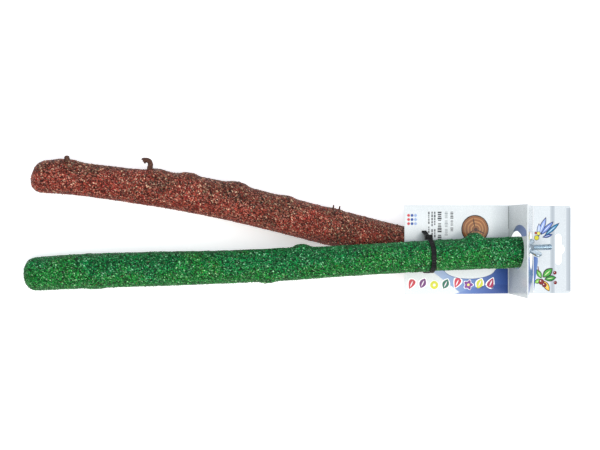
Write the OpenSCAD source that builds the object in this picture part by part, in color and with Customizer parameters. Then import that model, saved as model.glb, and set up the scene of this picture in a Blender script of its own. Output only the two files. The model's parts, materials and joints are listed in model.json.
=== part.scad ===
// Two natural branch perches in a coat of coloured grit, sold together on one folded hang card.
// Each branch ends in a hanger bolt with two washers and a wing nut, which clamp it to cage bars.
// The set lies on a table: the red branch flat, the green one on the card that rests on the red.
// X runs along the branches to the hardware end, Y across the card and Z up, in millimetres.

/* [Branches] */
// Length of the green branch
green_length = 487; // [430:1:540]
// Thickness of the green branch where it is thickest, coat included
green_girth = 33; // [30:0.25:33.5]
// Length of the red branch
red_length = 486.5; // [430:1:540]
// Thickness of the red branch where it is thickest, coat included
red_girth = 38.4; // [34:0.2:40]
// Thickness of the grit coat
coat_t = 2.2; // [1:0.1:3.5]
// Length of the rounded blind end
end_round = 12; // [8:0.5:16]
// Angle of the green branch across the card
green_yaw = 2; // [0:0.25:3]
// Angle of the red branch across the card, the other way
red_yaw = 10.7; // [9:0.1:12]
// Length of green branch that stands into the card's tent
perch_in_tent = 8.5; // [7:0.5:12]

/* [Hardware] */
// Thread diameter of the hanger bolts
bolt_d = 6; // [5:0.5:8]
// Length of thread that stands out of a branch
bolt_out = 29.5; // [24:0.5:32]
// Length of wood thread inside a branch
bolt_in = 34; // [20:1:50]
// Distance of a bolt from the middle of its branch
bolt_offset = 4; // [1:0.25:4.5]
// Outer diameter of the washers
washer_d = 22; // [18:0.5:25]
// Thickness of a washer
washer_t = 1.5; // [1:0.1:2]
// Diameter of the wing nut's hub at its foot
hub_d = 11.6; // [10:0.2:13]
// Height of the wing nut's hub
hub_h = 7; // [5:0.5:8]
// Width over both wings
wing_span = 28.8; // [25:0.2:30]
// Height of the wings over the nut's foot
wing_h = 12.4; // [10.5:0.2:14]
// Thickness of a wing
wing_t = 2.2; // [1.5:0.1:3]

/* [Hang card] */
// Width of the card
card_w = 91; // [82:0.5:100]
// Thickness of the board
board_t = 0.6; // [0.4:0.05:1]
// Length of the back panel, from its edge to the tent
panel_l = 109; // [95:0.5:125]
// Height of the tent's ridge over the panel
tent_h = 46; // [44:0.5:52]
// Distance that the ridge leans past the front wall's foot
tent_lean = 0.2; // [0:0.1:3]
// Length of the tent's foot along the card
tent_base = 26; // [24:0.5:30]
// Length of the header beyond the tent
header_l = 41; // [36:0.5:50]
// Radius of the header's outer corners
corner_r = 2.5; // [1:0.25:5]
// Diameter of the two holes in the tent
tent_hole_d = 38.5; // [38:0.25:40]
// Board left between the panel and the front hole
hole_bridge = 0.6; // [0.4:0.1:1.5]
// Length of the hanging slot across the card
slot_l = 32; // [28:0.5:34]
// Width of the hanging slot's arms
slot_w = 7; // [5.5:0.25:8]
// Width of the hanging slot in the middle, with its round notch
slot_full_w = 10.5; // [10:0.25:12]
// Board between the notch and the card's outer edge
slot_margin = 6.6; // [5:0.1:9]

/* [Cable tie] */
// Width of the tie's strap
strap_w = 4.8; // [3.6:0.1:6]
// Thickness of the strap
strap_t = 1.3; // [1:0.05:1.5]
// Place of the tie along the card
tie_x = 21.5; // [15:0.5:30]
// Width of the tie's head
head_w = 7.4; // [6.5:0.1:9]
// Length of the head along the strap
head_l = 6.6; // [5:0.1:8]
// Thickness of the head, with the strap that runs through it
head_t = 4.8; // [4:0.1:6]
// Length of the cut tail beyond the head
tail_l = 1.4; // [0.5:0.1:5]

/* [Hidden] */

// Clearances and cuts
bolt_gap = 0.06;       // round a bolt in the wood and in a nut
washer_gap = 0.25;     // round a bolt in a washer
seat_gap = 0.3;        // between pieces that rest on each other
twig_gap = 0.8;        // under the twig's foot, which stands on a knot's slope
branch_gap = 0.5;      // round the green branch in the tie and in the tent's hole
loop_gap = 2.4;        // round the red branch in the tie, so that it can swing
crease_gap = 0.25;     // at the header's crease
strap_gap = 0.6;       // between the strap and the red branch over it
slit_gap = 0.45;       // round the strap in the panel's slits
floor_gap = 0.1;       // under the strap
overrun = 2;           // how far a cut runs past a face

// Detail of the lofts
coat_rings = 60;
core_rings = 24;
end_rings = 6;
branch_sides = 20;
twig_sides = 8;

// Girth of a branch along its length: [place, share of the thickest girth]
green_girth_shares = [[0, 0.92], [0.06, 0.985], [0.27, 1], [0.34, 0.968], [0.54, 0.968],
                      [0.61, 0.915], [0.73, 0.918], [0.84, 0.93], [1, 0.935]];
red_girth_shares = [[0, 0.77], [0.05, 0.82], [0.14, 0.825], [0.19, 0.865], [0.25, 0.93], [0.34, 0.965],
                    [0.44, 0.96], [0.55, 0.975], [0.68, 1], [0.78, 0.99], [1, 0.97]];
// Sideways bend: [place, share of the length]
green_bend_shares = [[0, -0.005], [0.06, -0.0042], [0.12, -0.003], [0.25, -0.0047], [0.35, -0.0064],
                     [0.48, -0.0062], [0.62, -0.004], [0.75, -0.0012], [0.85, 0.0004], [1, 0]];
red_bend_shares = [[0, 0.0035], [0.05, 0.0125], [0.09, 0.0172], [0.18, 0.0225], [0.26, 0.029], [0.35, 0.0305],
                   [0.44, 0.027], [0.55, 0.021], [0.68, 0.0135], [0.76, 0.0095], [1, 0]];
smooth_share = 0.03;   // half the stretch over which these shapes are smoothed
// Knots: [place, angle round, share of the girth that it rises, half length, half angle]
green_knot_shares = [[0.541, 12, 0.1, 0.016, 32], [0.895, 20, 0.19, 0.017, 30],
                     [0.135, 150, 0.05, 0.018, 34], [0.37, 60, 0.05, 0.02, 36],
                     [0.47, 175, 0.05, 0.015, 30], [0.66, 115, 0.055, 0.014, 30]];
red_knot_shares = [[0.055, 20, 0.07, 0.028, 34], [0.232, 35, 0.07, 0.02, 36],
                   [0.296, 18, 0.06, 0.018, 34], [0.396, 20, 0.08, 0.022, 34],
                   [0.503, 25, 0.045, 0.016, 32], [0.61, 40, 0.045, 0.014, 30]];
knot_steepness = 3;    // how flat a knot's top is and how steep its sides
end_shares = [2.6, 2.2];   // how full the rounded end is

// Twig and stubs on the red branch: [place, angle round]
twig_seat_shares = [0.217, 22];
stub_seat_shares = [[0.06, 24], [0.598, 26], [0.612, 22], [0.742, 24]];
twig_r = 2.35;         // of the twig at its middle
curl_r = 3.4;          // of the curl's start
twig_rise = 3.4;       // height at which the curl starts
twig_turn = 145;       // how far the twig curls round
twig_steps = 14;
curl_open_share = 0.28;          // how much the curl opens
curl_aside_share = 0.3;          // how far it winds aside, of its radius
twig_r_shares = [[0, 1.1], [0.2, 1.12], [0.6, 0.92], [0.9, 0.78], [1, 0.9]];   // [place, share]
stub_heights = [4.2, 4.6, 4, 1.8];
stub_r = 1.5;
stub_r_shares = [1.7, 0.55, 0.5, 0.6];
stub_tip_share = 0.45;

// Wing nut
hub_top_share = 0.82;  // of the hub's foot
ear_round = 4.1;       // radius of a wing's rounded end
ear_low = 1;           // height at which a wing leaves the hub
ear_angles = [-50, 115];         // where its lower and upper edges meet the rounded end
green_nut_turn = 36;   // how far the wings are turned at rest
red_nut_turn = 65;

// Hanger bolt
tip_share = 0.25;      // of the bolt, at the wood thread's point
chamfer = 0.8;         // at the machine thread's end

// Card and tie
green_aside = 1.9;     // sawn ends, from the card's middle line
red_aside = 21;
red_back = 2;          // how far the red end stands behind the green one
lift_reach = 120;      // how gently the red branch rises over the strap
rear_hole_rise = 1.2;  // the rear hole's middle over the bolt
hole_reach = 2.5;      // how far each hole's cut runs to both sides of its wall
strap_steps = 22;      // flats on each round of the strap
tie_head_angle = -6;   // place of the head round the green branch
head_round = 1.2;      // of the tie head's corners
window_shares = [0.52, 0.5, 0.3];    // pawl window's width, length and depth, of the head's
steepest = 8;          // tilt that the strap is given room for under the red branch
swing_room = 19.5;     // widest crossing of strap and red branch that the strap lets through

// Shape of a branch at a place from 0 at its blind end to 1 at its sawn end
function smoothed(table, u) =
    (lookup(u - smooth_share, table) + 2 * lookup(u, table) + lookup(u + smooth_share, table)) / 4;
function turn_between(a, b) = abs((a - b + 540) % 360 - 180);
function knot_rise(knots, u, a) =
    max([for (k = knots)
        let (along = pow(abs(u - k[0]) / k[3], knot_steepness),
             round = pow(turn_between(a, k[1]) / k[4], knot_steepness))
        k[2] * exp(-along - round)]);
function end_share(s) =
    s >= end_round ? 1 : pow(1 - pow(1 - max(s, 0) / end_round, end_shares[0]), 1 / end_shares[1]);

// A branch is [length, girth, girth shares, bend shares, knots, table lift, lift's place].
// With a table lift, its underside lies along the table; without one its axis is level at zero.
function branch_radius(b, u) = b[1] * smoothed(b[2], u) / 2;
function branch_side(b, u) = b[0] * smoothed(b[3], u);
function branch_height(b, u) =
    b[6] < 0 ? 0 : branch_radius(b, u) + b[5] * exp(-pow((u - b[6]) * b[0] / lift_reach, 2));
function branch_point(b, inset, u, a) =
    let (s = u * b[0],
         knot = b[1] * knot_rise(b[4], u, a),
         r = (branch_radius(b, u) - inset + (inset > 0 ? 0 : knot)) * end_share(s - inset))
    [s, branch_side(b, u) + r * cos(a), branch_height(b, u) + r * sin(a)];
function ring_share(i, rings, round_share) =
    i <= end_rings ? round_share * (1 - cos(90 * i / end_rings))
    : round_share + (i - end_rings) / (rings - end_rings) * (1 - round_share);
function branch_rings(b, inset, rings) =
    let (first = inset / b[0])
    [for (i = [0:rings]) let (u = first + (1 - first) * ring_share(i, rings, end_round / b[0]))
        for (j = [0:branch_sides - 1]) branch_point(b, inset, u, 360 * j / branch_sides)];

// Faces of a loft: rings of n points from first on, wound to face out, or in for a hollow
function band(first, rings, n, flip) =
    [for (i = [0:rings - 1], j = [0:n - 1])
        let (a = first + i * n + j, b = first + i * n + (j + 1) % n)
        each flip ? [[a, b, b + n], [a, b + n, a + n]] : [[a, b + n, b], [a, a + n, b + n]]];
function fan(pole, ring, n, flip) =
    [for (j = [0:n - 1]) flip ? [pole, ring + (j + 1) % n, ring + j] : [pole, ring + j, ring + (j + 1) % n]];

// Sizes that follow from the ones above
hole_r = tent_hole_d / 2;
hole_place = 1 - perch_in_tent / green_length;
hole_h = hole_bridge + hole_r;
green = [green_length, green_girth, green_girth_shares, green_bend_shares, green_knot_shares, 0, -1];
// The green branch lies on the rim of the front hole, a little to the side of the hole's middle
rim_reach = hole_r - branch_radius(green, hole_place) - branch_gap / 2;
green_axis_h = hole_h - sqrt(pow(rim_reach, 2) - pow(green_aside, 2));
green_end = [panel_l + perch_in_tent, -green_aside, green_axis_h];
red_end = [panel_l + perch_in_tent - red_back, -red_aside, 0];
red_tie_place = 1 - (red_end.x - tie_x) / cos(red_yaw) / red_length;
red_lift = floor_gap + strap_t + strap_w * sin(steepest) + strap_gap;
red = [red_length, red_girth, red_girth_shares, red_bend_shares, red_knot_shares, red_lift, red_tie_place];

// The twig leaves the coat and curls over to the blind end, in [along, aside, out] of its seat
twig_path = concat([[0, 0, 0], [0, 0, twig_rise / 2]],
    [for (i = [0:twig_steps])
        let (done = i / twig_steps, a = twig_turn * done, r = curl_r * (1 + curl_open_share * done))
        [r * cos(a) - curl_r, curl_r * curl_aside_share * done, twig_rise + r * sin(a)]]);
function rod_ring(path, i, r) =
    let (d = path[min(i + 1, len(path) - 1)] - path[max(i - 1, 0)],
         side = cross(d, [0, 1, 0]) / norm(cross(d, [0, 1, 0])),
         other = cross(d, side) / norm(d))
    [for (j = [0:twig_sides - 1])
        path[i] + r * (cos(360 * j / twig_sides) * side + sin(360 * j / twig_sides) * other)];
function off_coat(b, seat, p) =
    let (q = branch_point(b, 0, seat[0], seat[1]), out = p.z + twig_gap, a = seat[1])
    [q.x - b[0] + p.x, q.y + p.y * sin(a) + out * cos(a), q.z - p.y * cos(a) + out * sin(a)];
twig_last = len(twig_path) - 1;
twig_points = [for (i = [0:twig_last])
    each [for (p = rod_ring(twig_path, i, twig_r * lookup(i / twig_last, twig_r_shares)))
        off_coat(red, twig_seat_shares, p)]];

function yawed(p, turn) = [p.x * cos(turn) - p.y * sin(turn), p.x * sin(turn) + p.y * cos(turn), p.z];
green_points = [for (p = branch_rings(green, 0, coat_rings))
    yawed(p - [green_length, 0, 0], green_yaw) + green_end];
red_points = [for (p = branch_rings(red, 0, coat_rings))
    yawed(p - [red_length, 0, 0], -red_yaw) + red_end];

// The panel's edge lies on the red branch, and the card tips until the green branch's far end
// meets the table
edge_place = 1 - red_end.x / cos(red_yaw) / red_length;
card_lift = branch_height(red, edge_place) + branch_radius(red, edge_place) + seat_gap + board_t;
tilt = min([for (p = green_points)
    if (p.x < -tie_x) asin(card_lift / norm([p.x, p.z])) + atan2(p.z, -p.x)]);

// The tie's loop lies square to the green branch, in [across, height] over the panel
green_tie_place = 1 - (green_end.x - tie_x) / cos(green_yaw) / green_length;
green_tie_y = green_end.y - (green_end.x - tie_x) * tan(green_yaw) + branch_side(green, green_tie_place);
strap_drop = card_lift - branch_height(red, red_tie_place);
red_cross_x = tie_x * cos(tilt) + strap_drop * sin(tilt);
red_cross_place = 1 - (red_end.x - red_cross_x) / cos(red_yaw) / red_length;
red_tie_y = red_end.y + (red_end.x - red_cross_x) * tan(red_yaw) + branch_side(red, red_cross_place);
loop_low = (floor_gap - card_lift - (tie_x - strap_w / 2) * sin(tilt)) / cos(tilt) + strap_t;
upper_r = branch_radius(green, green_tie_place) + branch_gap;
lower_r = branch_radius(red, red_tie_place) / cos(swing_room) + strap_w / 2 * tan(swing_room) + loop_gap;
upper_c = [0, green_axis_h];
lower_c = [red_tie_y - green_tie_y, loop_low + lower_r];
loop_dir = atan2(lower_c.y - upper_c.y, lower_c.x - upper_c.x);
loop_turn = acos((upper_r - lower_r) / norm(lower_c - upper_c));
function arc_points(c, r, from, to) =
    [for (i = [0:strap_steps]) let (a = from + (to - from) * i / strap_steps) c + r * [cos(a), sin(a)]];
function loop_points(out) =
    concat(arc_points(upper_c, upper_r + out, loop_dir + loop_turn, loop_dir - loop_turn + 360),
           arc_points(lower_c, lower_r + out, loop_dir - loop_turn + 360, loop_dir + loop_turn + 360));
// Where the middle of the strap passes through the board, on the side that this angle faces
function strap_at_board(a) =
    (upper_c.y * sin(a) + upper_r + strap_t / 2 + board_t / 2 * sin(a)) / cos(a);

// Tent and header
header_x = panel_l + tent_base;
card_l = header_x + header_l;
rear_lean = atan2(tent_base - tent_lean, tent_h);
foot_out = board_t * tan(rear_lean);
crease_x = header_x + foot_out + crease_gap;
bolt_y = green_end.y + bolt_offset;
rear_hole_h = green_axis_h + rear_hole_rise;
rear_hole_x = header_x - rear_hole_h * tan(rear_lean);

// The set is centred over the table
low_x = min([for (p = green_points) p.x * cos(tilt) - p.z * sin(tilt)]);
high_x = card_l * cos(tilt) + board_t * sin(tilt);
low_y = -card_w / 2;
high_y = max([for (p = concat(red_points, [for (p = twig_points) yawed(p, -red_yaw) + red_end])) p.y]);
centre = [(low_x + high_x) / 2, (low_y + high_y) / 2, 0];

module on_table() {
    translate(-centre) children();
}

module on_card() {
    on_table() translate([0, 0, card_lift]) rotate([0, -tilt, 0]) children();
}

// At a branch's sawn end, with X out of the wood
module at_green_end() {
    on_card() translate(green_end) rotate([0, 0, green_yaw]) children();
}

module at_red_end() {
    on_table() translate(red_end) rotate([0, 0, -red_yaw]) children();
}

// On a bolt's axis, with X out of the wood
module on_green_bolt() {
    at_green_end() translate([0, bolt_offset, 0]) children();
}

module on_red_bolt() {
    at_red_end() translate([0, bolt_offset, branch_height(red, 1)]) children();
}

// A disc or tube along X, from its face at x
module disc_x(x, d, h) {
    translate([x, 0, 0]) rotate([0, 90, 0]) cylinder(d = d, h = h, $fn = 96);
}

module wood_core(b) {
    n = branch_sides;
    all = branch_rings(b, coat_t, core_rings);
    difference() {
        translate([-b[0], 0, 0])
            polyhedron(
                points = concat([all[0]], [for (i = [n:len(all) - 1]) all[i]]),
                faces = concat(fan(0, 1, n, false), band(1, core_rings - 1, n, false),
                               [[for (j = [n - 1:-1:0]) (core_rings - 1) * n + 1 + j]]));
        translate([0, bolt_offset, branch_height(b, 1)])
            disc_x(-bolt_in - bolt_gap, bolt_d + 2 * bolt_gap, bolt_in + overrun);
    }
}

// The coat is a closed shell round the wood, open at the sawn end
module grit_coat(b) {
    n = branch_sides;
    outer = branch_rings(b, 0, coat_rings);
    inner = branch_rings(b, coat_t, core_rings);
    inner_first = coat_rings * n + 1;
    outer_last = (coat_rings - 1) * n + 1;
    inner_last = inner_first + (core_rings - 1) * n + 1;
    translate([-b[0], 0, 0])
        polyhedron(
            points = concat([outer[0]], [for (i = [n:len(outer) - 1]) outer[i]],
                            [inner[0]], [for (i = [n:len(inner) - 1]) inner[i]]),
            faces = concat(fan(0, 1, n, false), band(1, coat_rings - 1, n, false),
                           fan(inner_first, inner_first + 1, n, true),
                           band(inner_first + 1, core_rings - 1, n, true),
                           [for (j = [0:n - 1])
                               let (a = outer_last + j, c = outer_last + (j + 1) % n,
                                    d = inner_last + j, e = inner_last + (j + 1) % n)
                               each [[c, a, d], [c, d, e]]]));
}

// Stands its children on a branch's coat, with Z out of it and X along the branch
module on_coat(b, seat) {
    p = branch_point(b, 0, seat[0], seat[1]);
    translate([p.x - b[0], p.y, p.z]) rotate([seat[1] - 90, 0, 0]) translate([0, 0, seat_gap]) children();
}

module hanger_bolt() {
    r = bolt_d / 2;
    rotate([0, 90, 0])
        rotate_extrude($fn = 96)
            polygon([[0, -bolt_in], [r * tip_share, -bolt_in], [r, -bolt_in + bolt_d],
                     [r, bolt_out - chamfer], [r - chamfer, bolt_out], [0, bolt_out]]);
}

module washer(x) {
    difference() {
        disc_x(x, washer_d, washer_t);
        disc_x(x - overrun, bolt_d + 2 * washer_gap, washer_t + 2 * overrun);
    }
}

// A wing's outline, in [out from the axis, height over the foot]
module wing_outline() {
    root = hub_d / 2 * hub_top_share - wing_t / 4;
    eye = [wing_span / 2 - ear_round, wing_h - ear_round];
    translate(eye) circle(r = ear_round, $fn = 64);
    polygon([[bolt_d / 2 + bolt_gap, ear_low], [root + wing_t, ear_low],
             eye + ear_round * [cos(ear_angles[0]), sin(ear_angles[0])],
             eye + ear_round * [cos(ear_angles[1]), sin(ear_angles[1])],
             [root, hub_h], [bolt_d / 2 + bolt_gap, hub_h]]);
}

module wing_nut(x, turn) {
    translate([x, 0, 0])
        rotate([turn, 0, 0])
            rotate([0, 90, 0])
                difference() {
                    union() {
                        cylinder(d1 = hub_d, d2 = hub_d * hub_top_share, h = hub_h, $fn = 96);
                        for (side = [0, 180])
                            rotate([0, 0, side]) rotate([90, 0, 0])
                                linear_extrude(wing_t, center = true) wing_outline();
                    }
                    translate([0, 0, -overrun])
                        cylinder(d = bolt_d + 2 * bolt_gap, h = wing_h + 2 * overrun, $fn = 96);
                }
}

module green_wood_core() {
    color("#b98f5e") at_green_end() wood_core(green);
}

module green_grit_coat() {
    color("#2a8a48") at_green_end() grit_coat(green);
}

module green_hanger_bolt() {
    color("#b8c4c9") on_green_bolt() hanger_bolt();
}

module green_inner_washer() {
    color("#b8c4c9") on_green_bolt() washer(0);
}

module green_outer_washer() {
    color("#b8c4c9") on_green_bolt() washer(washer_t);
}

module green_wing_nut() {
    color("#b8c4c9") on_green_bolt() wing_nut(2 * washer_t, green_nut_turn);
}

module red_wood_core() {
    color("#b98f5e") at_red_end() wood_core(red);
}

module red_grit_coat() {
    color("#96504a") at_red_end() grit_coat(red);
}

module red_hanger_bolt() {
    color("#b8c4c9") on_red_bolt() hanger_bolt();
}

module red_inner_washer() {
    color("#b8c4c9") on_red_bolt() washer(0);
}

module red_outer_washer() {
    color("#b8c4c9") on_red_bolt() washer(washer_t);
}

module red_wing_nut() {
    color("#b8c4c9") on_red_bolt() wing_nut(2 * washer_t, red_nut_turn);
}

module red_curled_twig() {
    n = twig_sides;
    color("#4a2c22") at_red_end()
        polyhedron(
            points = twig_points,
            faces = concat([[for (j = [0:n - 1]) j]], band(0, twig_last, n, false),
                           [[for (j = [n - 1:-1:0]) twig_last * n + j]]));
}

module red_bud_stubs() {
    color("#5a3a2c")
        for (i = [0:len(stub_heights) - 1])
            at_red_end() on_coat(red, stub_seat_shares[i])
                cylinder(r1 = stub_r * stub_r_shares[i], r2 = stub_r * stub_r_shares[i] * stub_tip_share,
                         h = stub_heights[i], $fn = 24);
}

// Side view of the folded board: outer path of panel, front wall and rear wall
module folded_outline() {
    t = board_t;
    rear = [sin(rear_lean), -cos(rear_lean)];
    ridge = [panel_l + tent_lean, tent_h];
    front = (ridge - [panel_l, 0]) / norm(ridge - [panel_l, 0]);
    function turned(d) = [d.y, -d.x];
    function inside(p, d1, d2) = p + t * (turned(d1) + turned(d2)) / (1 + turned(d1) * turned(d2));
    polygon([[0, 0], [panel_l, 0], ridge, [header_x + foot_out, -t],
             [header_x + foot_out - t / cos(rear_lean), -t],
             inside(ridge, front, rear), inside([panel_l, 0], [1, 0], front), [0, -t]]);
}

module hang_card() {
    color("#f4f6f7") on_card()
        difference() {
            rotate([90, 0, 0]) linear_extrude(card_w, center = true) folded_outline();
            translate([panel_l + tent_lean / 2, 0, hole_h])
                disc_x(-hole_reach, tent_hole_d, 2 * hole_reach);
            translate([rear_hole_x, 0, rear_hole_h])
                rotate([0, -rear_lean, 0])
                    disc_x(-hole_reach, tent_hole_d, 2 * hole_reach);
            for (a = [loop_dir + loop_turn, loop_dir - loop_turn])
                translate([tie_x, green_tie_y, 0]) rotate([0, 0, green_yaw])
                    translate([0, strap_at_board(a), -board_t / 2])
                        cube([strap_w + 2 * slit_gap, strap_t + 2 * slit_gap, board_t + 2 * overrun],
                             center = true);
        }
}

module header_outline() {
    difference() {
        union() {
            translate([crease_x, -card_w / 2]) square([card_l - corner_r - crease_x, card_w]);
            translate([crease_x, corner_r - card_w / 2]) square([card_l - crease_x, card_w - 2 * corner_r]);
            for (s = [-1, 1])
                translate([card_l - corner_r, s * (card_w / 2 - corner_r)]) circle(r = corner_r, $fn = 48);
        }
        hang_slot();
    }
}

// Two round-ended arms and a round notch towards the outer edge
module hang_slot() {
    low = card_l - slot_margin - slot_full_w;
    arm_r = slot_w / 2;
    translate([low, arm_r - slot_l / 2]) square([slot_w, slot_l - 2 * arm_r]);
    for (s = [-1, 1])
        translate([low + arm_r, s * (slot_l / 2 - arm_r)]) circle(r = arm_r, $fn = 48);
    translate([low + slot_full_w / 2, 0]) circle(r = slot_full_w / 2, $fn = 64);
}

module card_header() {
    color("#f4f6f7") on_card() translate([0, 0, -board_t]) linear_extrude(board_t) header_outline();
}

// A moulded block along Z, with rounded upright edges
module rounded_block(w, l, h, r) {
    linear_extrude(h) {
        square([w - 2 * r, l], center = true);
        square([w, l - 2 * r], center = true);
        for (x = [-1, 1], y = [-1, 1])
            translate([x * (w / 2 - r), y * (l / 2 - r)]) circle(r = r, $fn = 32);
    }
}

// The head stands on the strap, with its pawl window outwards
module tie_head() {
    window = [head_w * window_shares[0], head_l * window_shares[1], head_t * window_shares[2]];
    rotate([-90, 0, 0])
        difference() {
            rounded_block(head_w, head_l, head_t, head_round);
            translate([-window.x / 2, -window.y / 2, head_t - window.z]) cube(window + [0, 0, overrun]);
        }
}

module cable_tie() {
    color("#1b1b1d") on_card() translate([tie_x, green_tie_y, 0]) rotate([0, 0, green_yaw]) {
        rotate([90, 0, 90])
            linear_extrude(strap_w, center = true)
                difference() {
                    polygon(loop_points(strap_t));
                    polygon(loop_points(0));
                }
        translate([0, 0, green_axis_h]) rotate([tie_head_angle, 0, 0]) {
            translate([0, upper_r + strap_t / 4, 0]) tie_head();
            translate([-strap_w / 2, upper_r + strap_t * 2, head_l / 2 - strap_t / 2])
                cube([strap_w, strap_t, tail_l + strap_t / 2]);
        }
    }
}

green_wood_core();
green_grit_coat();
green_hanger_bolt();
green_inner_washer();
green_outer_washer();
green_wing_nut();
red_wood_core();
red_grit_coat();
red_hanger_bolt();
red_inner_washer();
red_outer_washer();
red_wing_nut();
red_curled_twig();
red_bud_stubs();
hang_card();
card_header();
cable_tie();
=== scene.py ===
# Two natural branch perches in coloured grit, held on a folded hang card by one cable tie.
import json
import math

import bpy
import numpy as np
from mathutils import Matrix


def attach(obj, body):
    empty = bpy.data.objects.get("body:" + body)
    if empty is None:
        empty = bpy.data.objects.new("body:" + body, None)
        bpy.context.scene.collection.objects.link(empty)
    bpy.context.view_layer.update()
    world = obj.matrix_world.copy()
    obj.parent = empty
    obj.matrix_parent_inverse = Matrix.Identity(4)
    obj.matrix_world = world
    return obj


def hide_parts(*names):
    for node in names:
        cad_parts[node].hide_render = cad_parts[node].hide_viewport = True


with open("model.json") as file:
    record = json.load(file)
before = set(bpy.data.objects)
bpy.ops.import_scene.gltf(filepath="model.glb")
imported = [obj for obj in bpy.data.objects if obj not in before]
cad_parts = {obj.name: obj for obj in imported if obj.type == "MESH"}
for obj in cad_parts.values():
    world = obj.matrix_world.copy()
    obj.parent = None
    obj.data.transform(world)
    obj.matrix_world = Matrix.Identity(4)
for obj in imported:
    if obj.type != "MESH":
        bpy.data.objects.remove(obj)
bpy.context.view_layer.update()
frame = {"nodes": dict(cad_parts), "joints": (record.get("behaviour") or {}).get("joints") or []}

mm = 0.001
joints = {joint["name"]: joint for joint in frame["joints"]}
rng = np.random.default_rng(7)
print("frame loaded:", len(frame["nodes"]), "nodes")


# Meshes

def linear(hexColour):
    # sRGB hex to linear: ((c + 0.055) / 1.055) ** 2.4 above the toe, c / 12.92 below it
    c = np.array([int(hexColour[i:i + 2], 16) for i in (1, 3, 5)]) / 255
    lin = np.where(c > 0.04045, ((c + 0.055) / 1.055) ** 2.4, c / 12.92)
    return (*lin.tolist(), 1.0)


def unit(v):
    # each vector divided by its length
    return v / (np.linalg.norm(v, axis=-1, keepdims=True) + 1e-12)


def runLength(points):
    # how far along a path each of its points lies
    return np.concatenate([[0], np.cumsum(np.linalg.norm(np.diff(points, axis=0), axis=1))])


def readAt(s, places, table):
    # each column of a table read at s, by straight lines between its places
    return np.stack([np.interp(s, places, column) for column in table.T], -1)


def addObject(name, data):
    # a new object at the origin, unturned
    thing = bpy.data.objects.new(name, data)
    bpy.context.scene.collection.objects.link(thing)
    return thing


def makePiece(name, home, points, faces, material, slot, replaces=(), crease=None, colours=None):
    # points in millimetres on the home's own axes, brought to metres in the shared frame with nothing under
    # the table; faces as arrays of vertex numbers, one row to a face; with a crease the piece is shaded
    # smooth but for edges sharper than that many degrees
    there = home["origin"] + points @ home["axes"] * mm
    there[:, 2] = np.maximum(there[:, 2], 0)
    mesh = bpy.data.meshes.new(name)
    mesh.vertices.add(len(points))
    mesh.vertices.foreach_set("co", there.astype(np.float32).ravel())
    sizes = np.concatenate([np.full(len(f), f.shape[1]) for f in faces])
    corners = np.concatenate([f.ravel() for f in faces])
    mesh.loops.add(len(corners))
    mesh.loops.foreach_set("vertex_index", corners.astype(np.int32))
    mesh.polygons.add(len(sizes))
    mesh.polygons.foreach_set("loop_start", (np.cumsum(sizes) - sizes).astype(np.int32))
    mesh.polygons.foreach_set("use_smooth", np.full(len(sizes), crease is not None))
    mesh.update(calc_edges=True)
    mesh.validate()
    if crease is not None:
        mesh.set_sharp_from_angle(angle=math.radians(crease))
    if colours is not None:
        layer = mesh.color_attributes.new("tint", "FLOAT_COLOR", "POINT")
        layer.data.foreach_set("color", np.asarray(colours, np.float32).ravel())
    mesh.materials.append(material)
    piece = addObject(name, mesh)
    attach(piece, home["body"])
    if replaces:
        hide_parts(*replaces)


def skin(rows, first=None, last=None):
    # a grid of points as quads, closed round its columns, with a fan to a pole at either end
    count, sides = rows.shape[:2]
    points = rows.reshape(-1, 3)
    j = np.arange(sides)
    a, b = (np.arange(count - 1)[:, None] * sides + column for column in (j, (j + 1) % sides))
    faces = [np.stack([a, b, b + sides, a + sides], -1).reshape(-1, 4)]
    for pole, row, turn in ((first, 0, 1), (last, count - 1, -1)):
        if pole is not None:
            here = row * sides
            fan = np.stack([np.full(sides, len(points)), here + (j + 1) % sides, here + j], -1)
            faces.append(fan if turn > 0 else fan[:, [0, 2, 1]])
            points = np.vstack([points, [pole]])
    return points, faces


def closedSkin(rows, caps=True):
    # a grid that is closed round its columns, with one flat face at either end or joined end to end
    if not caps:
        points, faces = skin(np.concatenate([rows, rows[:1]]))
        count = rows.shape[0] * rows.shape[1]
        return points[:count], [f % count for f in faces]
    points, faces = skin(rows)
    ring = np.arange(rows.shape[1])[None, :]
    return points, faces + [ring[:, ::-1], len(points) - rows.shape[1] + ring]


def circle(sides):
    # even angles round a full turn
    return np.arange(sides) * 2 * math.pi / sides


def rings(x, r, a):
    # rings about X: (x, r cos a, r sin a)
    return np.stack(np.broadcast_arrays(x, r * np.cos(a), r * np.sin(a)), -1)


def turned(profile, sides):
    # a profile of (place along X, radius) turned round X
    x, r = np.array(profile, float).T[..., None]
    return rings(x, r, circle(sides))


def insetOutline(outline, inset):
    # every point of a closed outline moved in, square to the line between its neighbours
    line = unit(np.roll(outline, -1, 0) - np.roll(outline, 1, 0))
    return outline + inset * np.stack([-line[:, 1], line[:, 0]], 1)


def pillow(outline, thickness, rounding):
    # a flat plate from an anticlockwise outline in (u, v), centred on w, with its rims rounded by quarter
    # turns: in by r (1 - sin t) at a height of half the thickness - r (1 - cos t)
    turns = np.linspace(0, math.pi / 2, 5)
    half = thickness / 2
    steps = [(rounding * (1 - math.sin(t)), half - rounding * (1 - math.cos(t))) for t in turns]
    steps += [(inset, -w) for inset, w in reversed(steps)]
    rows = [np.column_stack([insetOutline(outline, inset), np.full(len(outline), w)]) for inset, w in steps]
    return closedSkin(np.array(rows)[:, ::-1])


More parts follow.
